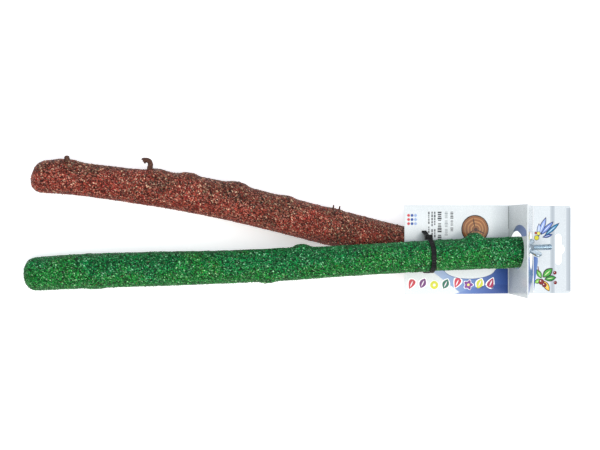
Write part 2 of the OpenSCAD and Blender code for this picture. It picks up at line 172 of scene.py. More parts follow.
def roundedRect(halfWidth, halfHeight, radius, steps=5):
    # anticlockwise outline with quarter arcs at its corners
    points = []
    for k, (sx, sy) in enumerate(((1, 1), (-1, 1), (-1, -1), (1, -1))):
        for t in np.radians(np.linspace(90 * k, 90 * k + 90, steps)):
            points.append([sx * (halfWidth - radius) + radius * math.cos(t),
                           sy * (halfHeight - radius) + radius * math.sin(t)])
    return np.array(points)


def joined(parts):
    # several (points, faces) as one
    points, byCorners, start = [], {}, 0
    for somePoints, someFaces in parts:
        points.append(somePoints)
        for f in someFaces:
            byCorners.setdefault(f.shape[1], []).append(f + start)
        start += len(somePoints)
    return np.vstack(points), [np.vstack(f) for f in byCorners.values()]


# Noise on whole arrays

def hashed(cell, seed):
    # one number from 0 to 1 for each lattice cell, by multiplying and folding its bits
    c = cell.astype(np.int64).astype(np.uint64)
    h = c[..., 0] * np.uint64(73856093) ^ c[..., 1] * np.uint64(19349663) ^ c[..., 2] * np.uint64(83492791)
    h = (h + np.uint64(seed * 7919)) * np.uint64(2654435761)
    h = (h ^ (h >> np.uint64(15))) * np.uint64(2246822519)
    h = h ^ (h >> np.uint64(13))
    return (h & np.uint64(0xFFFFFF)).astype(float) / 0xFFFFFF


def softNoise(p, cell, seed):
    # value noise: lattice values blended by 3 f^2 - 2 f^3 along each axis
    q = p / cell
    base = np.floor(q)
    f = q - base
    f = f * f * (3 - 2 * f)
    total = np.zeros(q.shape[:-1])
    for corner in np.ndindex(2, 2, 2):
        weight = np.prod(np.where(corner, f, 1 - f), -1)
        total += weight * hashed(base + corner, seed)
    return total


def grainNoise(p, cell, seed):
    # distance to the nearest of one jittered point in each cell, and that point's own number
    q = p / cell
    base = np.floor(q)
    nearest = np.full(q.shape[:-1], 9.0)
    number = np.zeros(q.shape[:-1])
    for step in np.ndindex(3, 3, 3):
        there = base + np.array(step) - 1
        jitter = np.stack([hashed(there, seed + k) for k in range(3)], -1)
        away = np.linalg.norm(there + jitter - q, axis=-1)
        closer = away < nearest
        nearest = np.where(closer, away, nearest)
        number = np.where(closer, hashed(there, seed + 3), number)
    return nearest, number


# Materials

def addNode(tree, kind, settings=None, links=None):
    # one node, its properties and inputs by name or number, and what feeds it: a node's output, or a node
    # for its first output
    node = tree.nodes.new(kind)
    for name, value in (settings or {}).items():
        if name == "stops":
            ramp = node.color_ramp
            while len(ramp.elements) < len(value):
                ramp.elements.new(0.5)
            for element, (place, colour) in zip(ramp.elements, value):
                element.position = place
                element.color = linear(colour)
        elif isinstance(name, str) and hasattr(node, name):
            setattr(node, name, value)
        else:
            node.inputs[name].default_value = value
    for name, source in (links or {}).items():
        tree.links.new(source.outputs[0] if hasattr(source, "outputs") else source, node.inputs[name])
    return node


def startMaterial(name):
    # an empty material, and the places on the piece that its patterns read
    material = bpy.data.materials.new(name)
    material.use_nodes = True
    tree = material.node_tree
    tree.nodes.clear()
    return material, tree, addNode(tree, "ShaderNodeTexCoord").outputs["Object"]


def finishMaterial(tree, surface, colour=None, rough=None, bump=None):
    # a principled surface: its fixed values on its own sockets, and the patterns that feed the others
    feeds = {"Base Color": colour, "Roughness": rough, "Normal": bump}
    shader = addNode(tree, "ShaderNodeBsdfPrincipled", surface,
                     {socket: node for socket, node in feeds.items() if node})
    addNode(tree, "ShaderNodeOutputMaterial", links={"Surface": shader})


def makeGrit(name, grainMm, glint, pale):
    # Dyed quartz grit bonded with resin, sprinkled on wet: angular grains, each with its own tone and its own
    # way of facing the light, and a few flash. The dark gaps between grains are painted shade, and the grains
    # mixed toward the pale colour are partly the least dyed grit and partly painted glints. Real grains are 0.3
    # to 1 mm wide, too fine to show, and are drawn at their coarsest
    material, tree, place = startMaterial(name)
    tint = addNode(tree, "ShaderNodeAttribute", {"attribute_name": "tint"})
    grains = addNode(tree, "ShaderNodeTexVoronoi", {"Scale": 1 / (grainMm * mm), "Randomness": 1.0},
                     {"Vector": place})
    split = addNode(tree, "ShaderNodeSeparateColor", links={"Color": grains.outputs["Color"]})
    # painted shade: the tone falls from 1.15 to 0.12 towards each grain's edge, for the shade in the gaps
    # between grains
    gap = addNode(tree, "ShaderNodeMapRange",
                  {"From Min": 0.35, "From Max": 0.8, "To Min": 1.15, "To Max": 0.12},
                  {"Value": grains.outputs["Distance"]})
    tone = addNode(tree, "ShaderNodeMapRange", {"To Min": 0.12, "To Max": 2.15}, {"Value": split})
    shade = addNode(tree, "ShaderNodeMath", {"operation": "MULTIPLY"}, {0: gap, 1: tone})
    # partly painted glint: grains high in the third channel are mixed up to 0.22 toward the pale colour
    paleAndGlint = addNode(tree, "ShaderNodeMapRange", {"From Min": 0.7, "From Max": 1.0, "To Max": 0.22},
                   {"Value": split.outputs[2]})
    dyed = addNode(tree, "ShaderNodeMix", {"data_type": "RGBA", 7: linear(pale)}, {0: paleAndGlint, 6: tint})
    colour = addNode(tree, "ShaderNodeVectorMath", {"operation": "SCALE"}, {0: dyed.outputs[2], "Scale": shade})
    rough = addNode(tree, "ShaderNodeMapRange", {"To Min": glint, "To Max": 0.75}, {"Value": split.outputs[1]})
    bump = addNode(tree, "ShaderNodeBump", {"Strength": 0.9, "Distance": 0.5 * mm, "invert": True},
                   {"Height": grains.outputs["Distance"]})
    finishMaterial(tree, {"IOR": 1.45, "Specular IOR Level": 0.15}, colour, rough, bump)
    return material


def makeSawnWood(name, pith):
    # Air-dried branch wood cut with a saw: pale rings 1.8 mm apart round the pith, where a wave repeats every
    # pi / 10 / scale, and fuzzy saw marks
    material, tree, place = startMaterial(name)
    centred = addNode(tree, "ShaderNodeMapping", {"Location": (0, -pith[1], -pith[2])}, {"Vector": place})
    rings = addNode(tree, "ShaderNodeTexWave",
                    {"wave_type": "RINGS", "rings_direction": "X", "Scale": 0.175 / mm, "Distortion": 2.0,
                     "Detail": 3.0, "Detail Scale": 2.0}, {"Vector": centred})
    fibre = addNode(tree, "ShaderNodeTexNoise", {"Scale": 0.9 / mm, "Detail": 4.0}, {"Vector": place})
    both = addNode(tree, "ShaderNodeMath", {"operation": "MULTIPLY_ADD", 1: 0.7},
                   {0: rings.outputs["Color"], 2: fibre})
    colour = addNode(tree, "ShaderNodeValToRGB",
                     {"stops": [(0.3, "#8d6238"), (0.6, "#c49a66"), (1.0, "#e2c391")]}, {"Fac": both})
    rough = addNode(tree, "ShaderNodeMapRange", {"To Min": 0.6, "To Max": 0.9}, {"Value": fibre})
    bump = addNode(tree, "ShaderNodeBump", {"Strength": 0.4, "Distance": 0.3 * mm}, {"Height": fibre})
    finishMaterial(tree, {"IOR": 1.45}, colour, rough, bump)
    return material


def mottled(name, surface, patchMm, detail, stops, dull, relief, soft=0.5, swell=None):
    # one noise with patches of so many mm gives the colour, how dull it is and a relief of (strength, mm),
    # which can stand on a wide swell of (mm across, detail, strength, mm high)
    material, tree, place = startMaterial(name)
    patches = addNode(tree, "ShaderNodeTexNoise",
                      {"Scale": 1 / (patchMm * mm), "Detail": detail, "Roughness": soft}, {"Vector": place})
    colour = addNode(tree, "ShaderNodeValToRGB", {"stops": stops}, {"Fac": patches})
    rough = addNode(tree, "ShaderNodeMapRange", {"To Min": dull[0], "To Max": dull[1]}, {"Value": patches})
    bump = addNode(tree, "ShaderNodeBump", {"Strength": relief[0], "Distance": relief[1] * mm},
                   {"Height": patches})
    if swell:
        broad = addNode(tree, "ShaderNodeTexNoise", {"Scale": 1 / (swell[0] * mm), "Detail": swell[1]},
                        {"Vector": place})
        under = addNode(tree, "ShaderNodeBump", {"Strength": swell[2], "Distance": swell[3] * mm},
                        {"Height": broad})
        tree.links.new(under.outputs[0], bump.inputs["Normal"])
    finishMaterial(tree, surface, colour, rough, bump)
    return material


def makeBoard(name, darker, paler):
    # White carton board with a gloss varnish, printed flat and then folded: cold white with a wavy sheen. Its
    # fibres are too fine to show and are drawn 0.7 mm wide
    surface = {"IOR": 1.5, "Coat Weight": 0.5, "Coat Roughness": 0.1, "Coat IOR": 1.45}
    return mottled(name, surface, 0.7, 4.0, [(0.3, darker), (0.7, paler)], (0.2, 0.34), (0.05, 0.05),
                   swell=(24, 1.5, 0.5, 1.2))


def makeInk():
    # Offset ink under the board's varnish: flat colour with the board's own sheen. Its screen of dots, about
    # 0.15 mm apart, is too fine to show and is drawn as a faint grain of 0.4 mm
    material, tree, place = startMaterial("offset_ink")
    tint = addNode(tree, "ShaderNodeAttribute", {"attribute_name": "tint"})
    screen = addNode(tree, "ShaderNodeTexNoise", {"Scale": 1 / (0.4 * mm), "Detail": 2.0}, {"Vector": place})
    shade = addNode(tree, "ShaderNodeMapRange", {"To Min": 0.88, "To Max": 1.1}, {"Value": screen})
    colour = addNode(tree, "ShaderNodeVectorMath", {"operation": "SCALE"}, {0: tint, "Scale": shade})
    rough = addNode(tree, "ShaderNodeMapRange", {"To Min": 0.22, "To Max": 0.36}, {"Value": screen})
    surface = {"IOR": 1.45, "Specular IOR Level": 0.3, "Coat Weight": 0.15, "Coat Roughness": 0.15}
    finishMaterial(tree, surface, colour, rough)
    return material


# each perch's palest grains, which are partly pale grit and partly painted glints, and the grit of its skin and
# of the grains that stand on it, where a cell of the pattern is wider than a grain and gives it about one tone
paleGrainAndGlint = {"green": "#9fd0a0", "red": "#e6c4b0"}
grit = {perch: makeGrit(perch + "_bonded_grit", 0.95, 0.3, pale) for perch, pale in paleGrainAndGlint.items()}
looseGrit = {perch: makeGrit(perch + "_loose_grit", 1.6, 0.16, pale) for perch, pale in paleGrainAndGlint.items()}

# Bark of a dead side shoot, shrunk on to it as it dried: dark, dull and wrinkled, paler where it has rubbed
bark = mottled("dry_bark", {"IOR": 1.4}, 0.8, 5.0, [(0.35, "#2c1a14"), (0.55, "#523226"), (0.75, "#96705a")],
               (0.65, 0.95), (0.7, 0.4), soft=0.65)

# Bright zinc-plated steel, rolled and barrel plated: cool blue grey, soft mirror with a fine handling haze
zinc = mottled("bright_zinc_plate", {"Metallic": 1.0}, 2.5, 5.0, [(0.35, "#a3b3be"), (0.65, "#c6d5df")],
               (0.2, 0.32), (0.08, 0.03))

# Black nylon, injection moulded: satin skin with a faint orange peel and soft grey shine
nylon = mottled("black_nylon", {"IOR": 1.5, "Specular IOR Level": 0.16}, 0.9, 3.0,
                [(0.3, "#040405"), (0.7, "#0b0b0d")], (0.22, 0.38), (0.15, 0.08))

# the header's board is a little greyer
board = makeBoard("varnished_board", "#cdd3d5", "#d7dcde")
greyBoard = makeBoard("grey_printed_board", "#c9d0d4", "#d3d9dc")
ink = makeInk()
print("materials made")


# Where the perches lie: each bolt's axis comes from its wing nut's joint

hardware = {"washerT": 1.5, "hubH": 7.0, "boltOffset": 4.0}

branches = {
    "green": {
        "length": 487, "girth": 33, "joint": "green_wing_nut_turn", "body": "root", "slot": "green_grit",
        "girthShares": [[0, 0.92], [0.06, 0.985], [0.27, 1], [0.34, 0.968], [0.54, 0.968],
                        [0.61, 0.915], [0.73, 0.918], [0.84, 0.93], [1, 0.935]],
        "bendShares": [[0, -0.005], [0.06, -0.0042], [0.12, -0.003], [0.25, -0.0047], [0.35, -0.0064],
                       [0.48, -0.0062], [0.62, -0.004], [0.75, -0.0012], [0.85, 0.0004], [1, 0]],
        "knotShares": [[0.541, 12, 0.1, 0.016, 32], [0.895, 20, 0.19, 0.017, 30],
                       [0.135, 150, 0.05, 0.018, 34], [0.37, 60, 0.05, 0.02, 36],
                       [0.47, 175, 0.05, 0.015, 30], [0.66, 115, 0.055, 0.014, 30]],
        "lift": 0, "liftPlace": -1, "seed": 11,
        # the second palette is paler and is moved to the side toward the key light as painted light; each
        # palette's palest entry is partly pale grit and partly painted glint
        "palettes": [
            [[0.26, "#02401f"], [0.5, "#066532"], [0.19, "#0c823c"], [0.04, "#7fc293"], [0.01, "#45401f"]],
            [[0.19, "#074a1b"], [0.5, "#0d6b28"], [0.25, "#1f8531"], [0.04, "#93cb8f"], [0.02, "#5c5a28"]]]},
    "red": {
        "length": 486.5, "girth": 38.4, "joint": "red_wing_nut_turn", "body": "red_perch", "slot": "red_grit",
        "girthShares": [[0, 0.77], [0.05, 0.82], [0.14, 0.825], [0.19, 0.865], [0.25, 0.93], [0.34, 0.965],
                        [0.44, 0.96], [0.55, 0.975], [0.68, 1], [0.78, 0.99], [1, 0.97]],
        "bendShares": [[0, 0.0035], [0.05, 0.0125], [0.09, 0.0172], [0.18, 0.0225], [0.26, 0.029],
                       [0.35, 0.0305], [0.44, 0.027], [0.55, 0.021], [0.68, 0.0135], [0.76, 0.0095], [1, 0]],
        "knotShares": [[0.055, 20, 0.07, 0.028, 34], [0.232, 35, 0.07, 0.02, 36],
                       [0.296, 18, 0.06, 0.018, 34], [0.396, 20, 0.08, 0.022, 34],
                       [0.503, 25, 0.045, 0.016, 32], [0.61, 40, 0.045, 0.014, 30]],
        "lift": 2.668, "liftPlace": 0.803364, "seed": 23,
        # the second palette is paler and is moved to the side toward the key light as painted light; each
        # palette's palest entry is partly pale grit and partly painted glint
        "palettes": [
            [[0.28, "#3d1f18"], [0.39, "#6f2e22"], [0.2, "#844334"], [0.09, "#77634b"], [0.04, "#c4a584"]],
            [[0.18, "#54201a"], [0.44, "#823226"], [0.26, "#9c4e3d"], [0.07, "#86191e"], [0.05, "#d3aa8c"]]]},
}
branchShape = {"smoothShare": 0.03, "endRound": 12, "endShares": [2.6, 2.2], "coatT": 2.2, "liftReach": 120,
               "knotSteepness": 3}


def smoothed(table, u):
    # the table's straight lines, softened by (f(u - w) + 2 f(u) + f(u + w)) / 4
    xs, ys = np.array(table).T
    w = branchShape["smoothShare"]
    return (np.interp(u - w, xs, ys) + 2 * np.interp(u, xs, ys) + np.interp(u + w, xs, ys)) / 4


def branchRadius(b, u):
    # half the girth times its softened share
    return b["girth"] * smoothed(b["girthShares"], u) / 2


def branchBend(b, u):
    # how far the axis lies aside: the length times its softened share
    return b["length"] * smoothed(b["bendShares"], u)


def branchHeight(b, u):
    # the axis lies a radius over the table and rises over the strap by a bell curve
    if b["liftPlace"] < 0:
        return np.zeros_like(u)
    away = (u - b["liftPlace"]) * b["length"] / branchShape["liftReach"]
    return branchRadius(b, u) + b["lift"] * np.exp(-away ** 2)


def branchPoint(b, u, a, inset=0.0):
    # a ring of radius r(u), less an inset or plus knots that fall as exp(-(du / length)^k - (da / angle)^k),
    # closed at the blind end by (1 - (1 - s / round)^m)^(1 / n)
    s = u * b["length"]
    knot = np.zeros(np.broadcast(u, a).shape)
    steep = branchShape["knotSteepness"]
    for place, angle, rise, halfLength, halfAngle in b["knotShares"]:
        turn = np.abs((a - angle + 540) % 360 - 180)
        fall = (np.abs(u - place) / halfLength) ** steep + (turn / halfAngle) ** steep
        knot = np.maximum(knot, rise * np.exp(-fall))
    m, n = branchShape["endShares"]
    share = np.clip((s - inset) / branchShape["endRound"], 0, 1)
    end = (1 - (1 - share) ** m) ** (1 / n)
    r = (branchRadius(b, u) - inset + (b["girth"] * knot if inset == 0 else 0)) * end
    angle = np.radians(a)
    return np.stack(np.broadcast_arrays(s - b["length"], branchBend(b, u) + r * np.cos(angle),
                                        branchHeight(b, u) + r * np.sin(angle)), -1)


def placeBranch(b):
    # axes with X out of the sawn end along the bolt and Z square to the card or the table
    joint = joints[b["joint"]]
    along = np.array(joint["axis"], float)
    tilt = math.atan2(along[2], along[0])
    up = np.array([-math.sin(tilt), 0, math.cos(tilt)])
    aside = np.cross(up, along)
    nutMiddle = 2 * hardware["washerT"] + hardware["hubH"] / 2
    bolt = np.array(joint["pos_m"]) - along * nutMiddle * mm
    height = float(branchHeight(b, 1.0))
    b["origin"] = bolt - (aside * hardware["boltOffset"] + up * height) * mm
    b["axes"] = np.array([along, aside, up])
    b["bolt"] = bolt


for b in branches.values():
    placeBranch(b)


# Grit coats: a dense skin pushed out by grain-sized noise, and angular grains standing on it

coat = {"rows": 640, "endRows": 36, "columns": 138, "innerRows": 12, "innerEndGap": 1.4, "firstRing": 0.02,
        "grainMm": 1.0, "grain": 0.42, "lowest": 0.4, "middleMm": 2.6, "middle": 0.3, "lumpMm": 7.0,
        "lump": 0.5}
looseGrains = {"count": 22000, "r": [0.3, 0.55], "uneven": 0.22, "seat": [-0.3, 0.1]}
# the two mixtures lie in random patches, and the facing share moves the paler one to the branch's side toward
# the key light, which is painted light
mixture = {"slow": [26.0, 0.7], "quick": [9.0, 0.5], "level": 0.6, "facing": 0.34, "blurPerMm": 3.1,
           "blur": 0.35}


def patchShare(b, p, a):
    # which of two mixtures of grit lies at a place: two noises, less a level, less f cos a round the branch;
    # the
    # cos term is painted light: it moves the paler second mixture to the side toward the key light
    noises = [softNoise(p, mixture[name][0], b["seed"] + k) * mixture[name][1]
              for k, name in enumerate(("slow", "quick"))]
    return sum(noises) - mixture["level"] - mixture["facing"] * np.cos(np.radians(a))


def grainTint(b, p, a, number):
    # a colour from one of two palettes by the grain's own number; the mixtures blur where they meet
    blur = (hashed(np.floor(p * mixture["blurPerMm"]), b["seed"] + 5) - 0.5) * mixture["blur"]
    second = patchShare(b, p, a) + blur > 0
    tints = np.zeros(number.shape + (4,))
    for chosen, palette in ((~second, b["palettes"][0]), (second, b["palettes"][1])):
        edges = np.cumsum([share for share, colour in palette])[:-1]
        colours = np.array([linear(colour) for share, colour in palette])
        tints = np.where(chosen[..., None], colours[np.searchsorted(edges, number)], tints)
    return tints


def coatRows(b):
    # places along the branch, closer together on the rounded end by 1 - cos, and angles round it
    share = branchShape["endRound"] / b["length"]
    end = share * (1 - np.cos(np.linspace(coat["firstRing"], 0.5, coat["endRows"]) * math.pi))
    rest = np.linspace(share, 1, coat["rows"])[1:]
    u = np.concatenate([end, rest])[:, None]
    a = (np.arange(coat["columns"]) * 360 / coat["columns"])[None, :]
    return u, a


def makeCoat(name, b):
    # the branch's own surface, each point pushed out square to it by three noises; then back under the coat
    u, a = coatRows(b)
    p = branchPoint(b, u, a)
    along = np.gradient(p, axis=0)
    around = np.roll(p, -1, 1) - np.roll(p, 1, 1)
    normal = unit(np.cross(around, along))
    away, number = grainNoise(p, coat["grainMm"], b["seed"])
    push = coat["lump"] * (softNoise(p, coat["lumpMm"], b["seed"] + 2) - 0.5)
    push += coat["middle"] * (softNoise(p, coat["middleMm"], b["seed"] + 3) - 0.5)
    push += coat["grain"] * ((1 - away) * (coat["lowest"] + number) - 0.5)
    p = p + normal * push[..., None]
    tints = grainTint(b, p, np.broadcast_to(a, number.shape), number)
    innerEnd = branchShape["coatT"] * coat["innerEndGap"] / b["length"]
    inner = branchPoint(b, np.linspace(1, innerEnd, coat["innerRows"])[:, None], a, branchShape["coatT"])
    nose = branchPoint(b, np.array([[0.0]]), a)[0].mean(0)
    points, faces = skin(np.concatenate([p, inner]), nose, inner[-1].mean(0))
    innerTints = np.broadcast_to(tints[-1].mean(0), (inner.shape[0] * inner.shape[1] + 2, 4))
    colours = np.vstack([tints.reshape(-1, 4), innerTints])
    makePiece(name + "_grit_skin", b, points, faces, grit[name], b["slot"], [name + "_grit_coat"],
              colours=colours)
    addGrains(name, b, p, normal, a)
    print(name, "coat made:", len(points), "points")


def addGrains(name, b, p, normal, a):
    # octahedra with uneven corners, half sunk in the skin, each turned by a random quaternion (w, q):
    # v + 2 w (q x v) + 2 q x (q x v)
    count = looseGrains["count"]
    i = rng.integers(0, p.shape[0], count)
    j = rng.integers(0, p.shape[1], count)
    size = rng.uniform(*looseGrains["r"], (count, 1, 1))
    corners = np.vstack([np.eye(3)[:2], -np.eye(3)[:2], np.eye(3)[2:], -np.eye(3)[2:]])
    corners = (corners + rng.normal(0, looseGrains["uneven"], (count, 6, 3))) * size
    turn = unit(rng.normal(size=(count, 4)))[:, None]
    w, q = turn[..., :1], turn[..., 1:]
    aside = 2 * np.cross(q, corners)
    centre = p[i, j] + normal[i, j] * rng.uniform(*looseGrains["seat"], (count, 1))
    points = centre[:, None] + corners + w * aside + np.cross(q, aside)
    one = np.array([[0, 1, 4], [1, 2, 4], [2, 3, 4], [3, 0, 4], [1, 0, 5], [2, 1, 5], [3, 2, 5], [0, 3, 5]])
    faces = (np.arange(count)[:, None, None] * 6 + one[None]).reshape(-1, 3)
    tints = grainTint(b, centre, a[0][j], rng.uniform(size=count))
    makePiece(name + "_loose_grains", b, points.reshape(-1, 3), [faces], looseGrit[name], b["slot"],
              colours=np.repeat(tints, 6, axis=0))


for perch, b in branches.items():
    makeCoat(perch, b)
    core = frame["nodes"][perch + "_wood_core"].data.materials
    core.clear()
    core.append(makeSawnWood(perch + "_sawn_wood", b["bolt"]))


# Bolt, washers and wing nut: places along the bolt from the sawn end

bolts = {"r": 3.0, "out": 29.5, "inside": 34.0, "pitch": 1.0, "depth": 0.55, "flank": 1.3, "crest": 0.1,
         "chamfer": 0.8, "taper": 6.0, "tipShare": 0.25, "step": 0.1, "sides": 48}
washers = {"r": 11.0, "hole": 3.25, "edge": 0.3, "rim": [0.4, 0.2], "sides": 96}
nuts = {"bore": 3.06, "hubR": 5.8, "topShare": 0.82, "span": 28.8, "height": 12.4, "wingT": 2.2, "earR": 4.1,
        "low": 1.0, "root": 0.3, "earAngles": [-50, 115], "earSteps": 22, "rounding": 0.7, "sides": 72,
        "turn": {"green": 36, "red": 65}, "boreEdges": [(0, 0.4), (0, 0.45), (-0.4, 0), (0.4, 0)],
        "footEdge": [(0, -0.35), (0.12, -0.1), (0.4, 0)],
        "topEdge": [(-1, 0.15), (-0.45, -0.15), (-0.1, -0.55), (0, -0.95)]}


def threadedBolt():
    # machine thread: radius falls from crest to root by a trapezoid wave of x / pitch - angle
    x = np.arange(0, bolts["out"] + bolts["step"] / 2, bolts["step"])[:, None]
    a = circle(bolts["sides"])
    wave = np.abs((x / bolts["pitch"] - a / (2 * math.pi)) % 1 - 0.5) * 2
    r = bolts["r"] - bolts["depth"] * (1 - np.clip(wave * bolts["flank"] - bolts["crest"], 0, 1))
    r = np.minimum(r, bolts["r"] - np.maximum(0, x - bolts["out"] + bolts["chamfer"]))
    shank = [(-bolts["inside"], bolts["r"] * bolts["tipShare"]), (bolts["taper"] - bolts["inside"], bolts["r"]),
             (-bolts["pitch"], bolts["r"])]
    rows = np.concatenate([turned(shank, bolts["sides"]), rings(x, r, a)])
    return skin(rows, rows[0].mean(0), rows[-1].mean(0))


def ringWasher(x):
    # a stamped ring with a rounded rim on both faces
    e, t, inner, outer = washers["edge"], hardware["washerT"], washers["hole"], washers["r"]
    up, back = (e * share for share in washers["rim"])
    profile = [(x, inner + e), (x, outer - e), (x + up, outer - back), (x + t / 2, outer),
               (x + t - up, outer - back), (x + t, outer - e), (x + t, inner + e),
               (x + t - e, inner), (x + e, inner)]
    return closedSkin(turned(profile, washers["sides"]), caps=False)


def wingOutline():
    # the two edges of a wing run from the hub to its rounded end
    root = nuts["hubR"] * nuts["topShare"] - nuts["wingT"] / 4
    eye = np.array([nuts["span"] / 2 - nuts["earR"], nuts["height"] - nuts["earR"]])
    inner = nuts["bore"] + nuts["root"]
    points = [[inner, nuts["low"]], [root + nuts["wingT"], nuts["low"]]]
    for t in np.radians(np.linspace(*nuts["earAngles"], nuts["earSteps"])):
        points.append(eye + nuts["earR"] * np.array([math.cos(t), math.sin(t)]))
    return np.array(points + [[root, hardware["hubH"]], [inner, hardware["hubH"]]])


def wingNut(turn):
    # a turned hub, with its edges eased by steps from their corners, and two pressed wings
    foot, h, r, bore = 2 * hardware["washerT"], hardware["hubH"], nuts["hubR"], nuts["bore"]
    corners = [(0, bore), (0, r), (h, r * nuts["topShare"]), (h, bore), (h, bore), (0, bore)]
    first, *others = ([edge] for edge in nuts["boreEdges"])
    edges = [first, nuts["footEdge"], nuts["topEdge"], *others]
    profile = [(x + dx, r + dr) for (x, r), edge in zip(corners, edges) for dx, dr in edge]
    hub, hubFaces = closedSkin(turned(profile, nuts["sides"]), caps=False)
    parts = [(hub + [foot, 0, 0], hubFaces)]
    wing, wingFaces = pillow(wingOutline(), nuts["wingT"], nuts["rounding"])
    for side in (0, 180):
        a = math.radians(turn + side)
        out = np.array([0, math.sin(a), -math.cos(a)])
        axes = np.array([out, [1, 0, 0], np.cross(out, [1, 0, 0])])
        parts.append((wing @ axes + [foot, 0, 0], wingFaces))
    return joined(parts)


for perch, b in branches.items():
    for piece, (points, faces), body, crease in (
            ("hanger_bolt", threadedBolt(), b["body"], 30),
            ("inner_washer", ringWasher(0), b["body"], 35),
            ("outer_washer", ringWasher(hardware["washerT"]), perch + "_washer", 35),
            ("wing_nut", wingNut(nuts["turn"][perch]), perch + "_nut", 40)):
        home = {"body": body, "origin": b["bolt"], "axes": b["axes"]}
        makePiece(f"{perch}_plated_{piece}", home, points, faces, zinc, "plated_steel", [f"{perch}_{piece}"],
                  crease)
print("hardware made")


# Dry shoots on the red branch: a curled twig and four stubs

shoots = {"twigSeat": [0.217, 22], "twigGap": 0.8, "rise": 3.4, "turn": 145, "steps": 14, "curlR": 3.4,
          "open": 0.28, "aside": 0.3, "twigR": 2.35, "twigPlaces": [0, 0.2, 0.6, 0.9, 1],
          "twigShares": [1.1, 1.12, 1.0, 1.02, 1.25], "twigFoot": [0.2, 0, -2.4], "tear": 1.1, "stubGap": 0.3,
          "stubSeats": [[0.06, 24], [0.598, 26], [0.612, 22], [0.742, 24]],
          "stubHeights": [4.2, 4.6, 4.0, 1.8], "stubR": [2.55, 0.83, 0.75, 0.9], "stubFoot": 1.2,
          "stubLean": 0.1, "stubBend": 0.6, "stubTop": 0.2, "stubPlaces": [0, 0.25, 0.75, 0.93, 1],
          "stubShares": [1.1, 1, 0.92, 0.74, 0.45], "sides": 22, "rows": 96, "softenings": 6, "thin": 0.86,
          "crease": 50, "torn": {"rows": 8, "cells": 9, "in": 0.6, "tip": 0.3, "tipIn": 0.8},
          "wrinkle": {"from": 40, "along": 0.35, "round": 1.6, "cell": 0.55, "deep": 0.3},
          "lump": {"from": 70, "cell": 1.2, "deep": 0.16}}


def seatOnCoat(b, place, angle):
    # axes with X along the branch and Z out of its coat
    base = branchPoint(b, np.array([[place]]), np.array([[float(angle)]]))[0, 0]
    a = math.radians(angle)
    return base, np.array([[1, 0, 0], [0, math.sin(a), -math.cos(a)], [0, math.cos(a), math.sin(a)]])


def barkRod(path, radii, seed, tear=0.0):
    # rings round a path that is softened by (a + 2 b + c) / 4, roughened by lengthwise wrinkles and small
    # lumps; a torn tip has its last rings pulled out and pushed in along the path
    count, length = shoots["rows"], runLength(path)
    s = np.linspace(0, length[-1], count)
    line = readAt(s, length, path)
    for _ in range(shoots["softenings"]):
        line[1:-1] = (line[:-2] + 2 * line[1:-1] + line[2:]) / 4
    way = unit(np.gradient(line, axis=0))
    side = unit(np.cross(way, [0, 1.0, 0]))
    other = np.cross(way, side)
    a, wrinkle, lump, torn = circle(shoots["sides"]), shoots["wrinkle"], shoots["lump"], shoots["torn"]
    lengthwise = rings(s[:, None] * wrinkle["along"], wrinkle["round"], a)
    places = rings(s[:, None], 1, a)
    rough = shoots["thin"] + wrinkle["deep"] * softNoise(lengthwise + wrinkle["from"], wrinkle["cell"], seed)
    rough += lump["deep"] * (softNoise(places + lump["from"], lump["cell"], seed + 1) - 0.5)
    r = np.interp(s / s[-1], *radii)[:, None] * rough
    out = np.cos(a)[:, None] * side[:, None] + np.sin(a)[:, None] * other[:, None]
    last = np.clip((np.arange(count) - count + torn["rows"] + 1) / torn["rows"], 0, 1)[:, None]
    pull = tear * last * (hashed(places[-1] * torn["cells"], seed) - torn["in"])
    rows = line[:, None] + r[..., None] * out + pull[..., None] * way[:, None]
    return skin(rows, line[0], line[-1] + way[-1] * (r[-1].mean() * torn["tip"] - tear * torn["tipIn"]))


def makeShoots(b):
    # the twig rises straight and then curls over on a widening arc; each stub leans back a little
    rise, r = shoots["rise"], shoots["curlR"]
    done = np.arange(shoots["steps"] + 1) / shoots["steps"]
    a, opened = np.radians(shoots["turn"]) * done, r * (1 + shoots["open"] * done)
    curl = np.stack([opened * np.cos(a) - r, r * shoots["aside"] * done, rise + opened * np.sin(a)], 1)
    path = np.vstack([[shoots["twigFoot"], [0, 0, 0], [0, 0, rise / 2]], curl])
    base, seat = seatOnCoat(b, *shoots["twigSeat"])
    base = base + seat[2] * shoots["twigGap"]
    shares = np.array(shoots["twigShares"]) * shoots["twigR"]
    points, faces = barkRod(path, (shoots["twigPlaces"], shares), 3, shoots["tear"])
    makePiece("red_bark_twig", b, base + points @ seat, faces, bark, "twig_bark", ["red_curled_twig"],
              shoots["crease"])
    parts = []
    for k, (place, angle) in enumerate(shoots["stubSeats"]):
        base, seat = seatOnCoat(b, place, angle)
        h, r = shoots["stubHeights"][k] + shoots["stubGap"], shoots["stubR"][k]
        lean, foot = h * shoots["stubLean"], shoots["stubFoot"]
        path = np.array([[0, 0, -foot], [0, 0, foot / 2], [-lean / 2, 0, h * shoots["stubBend"]],
                         [-lean, 0, h - r * shoots["stubTop"]]])
        points, faces = barkRod(path, (shoots["stubPlaces"], np.array(shoots["stubShares"]) * r), 9 + k)
        parts.append((base + points @ seat, faces))
    makePiece("red_bark_stubs", b, *joined(parts), bark, "twig_bark", ["red_bud_stubs"], shoots["crease"])


makeShoots(branches["red"])
print("shoots made")


# The card's own axes, from the header's crease

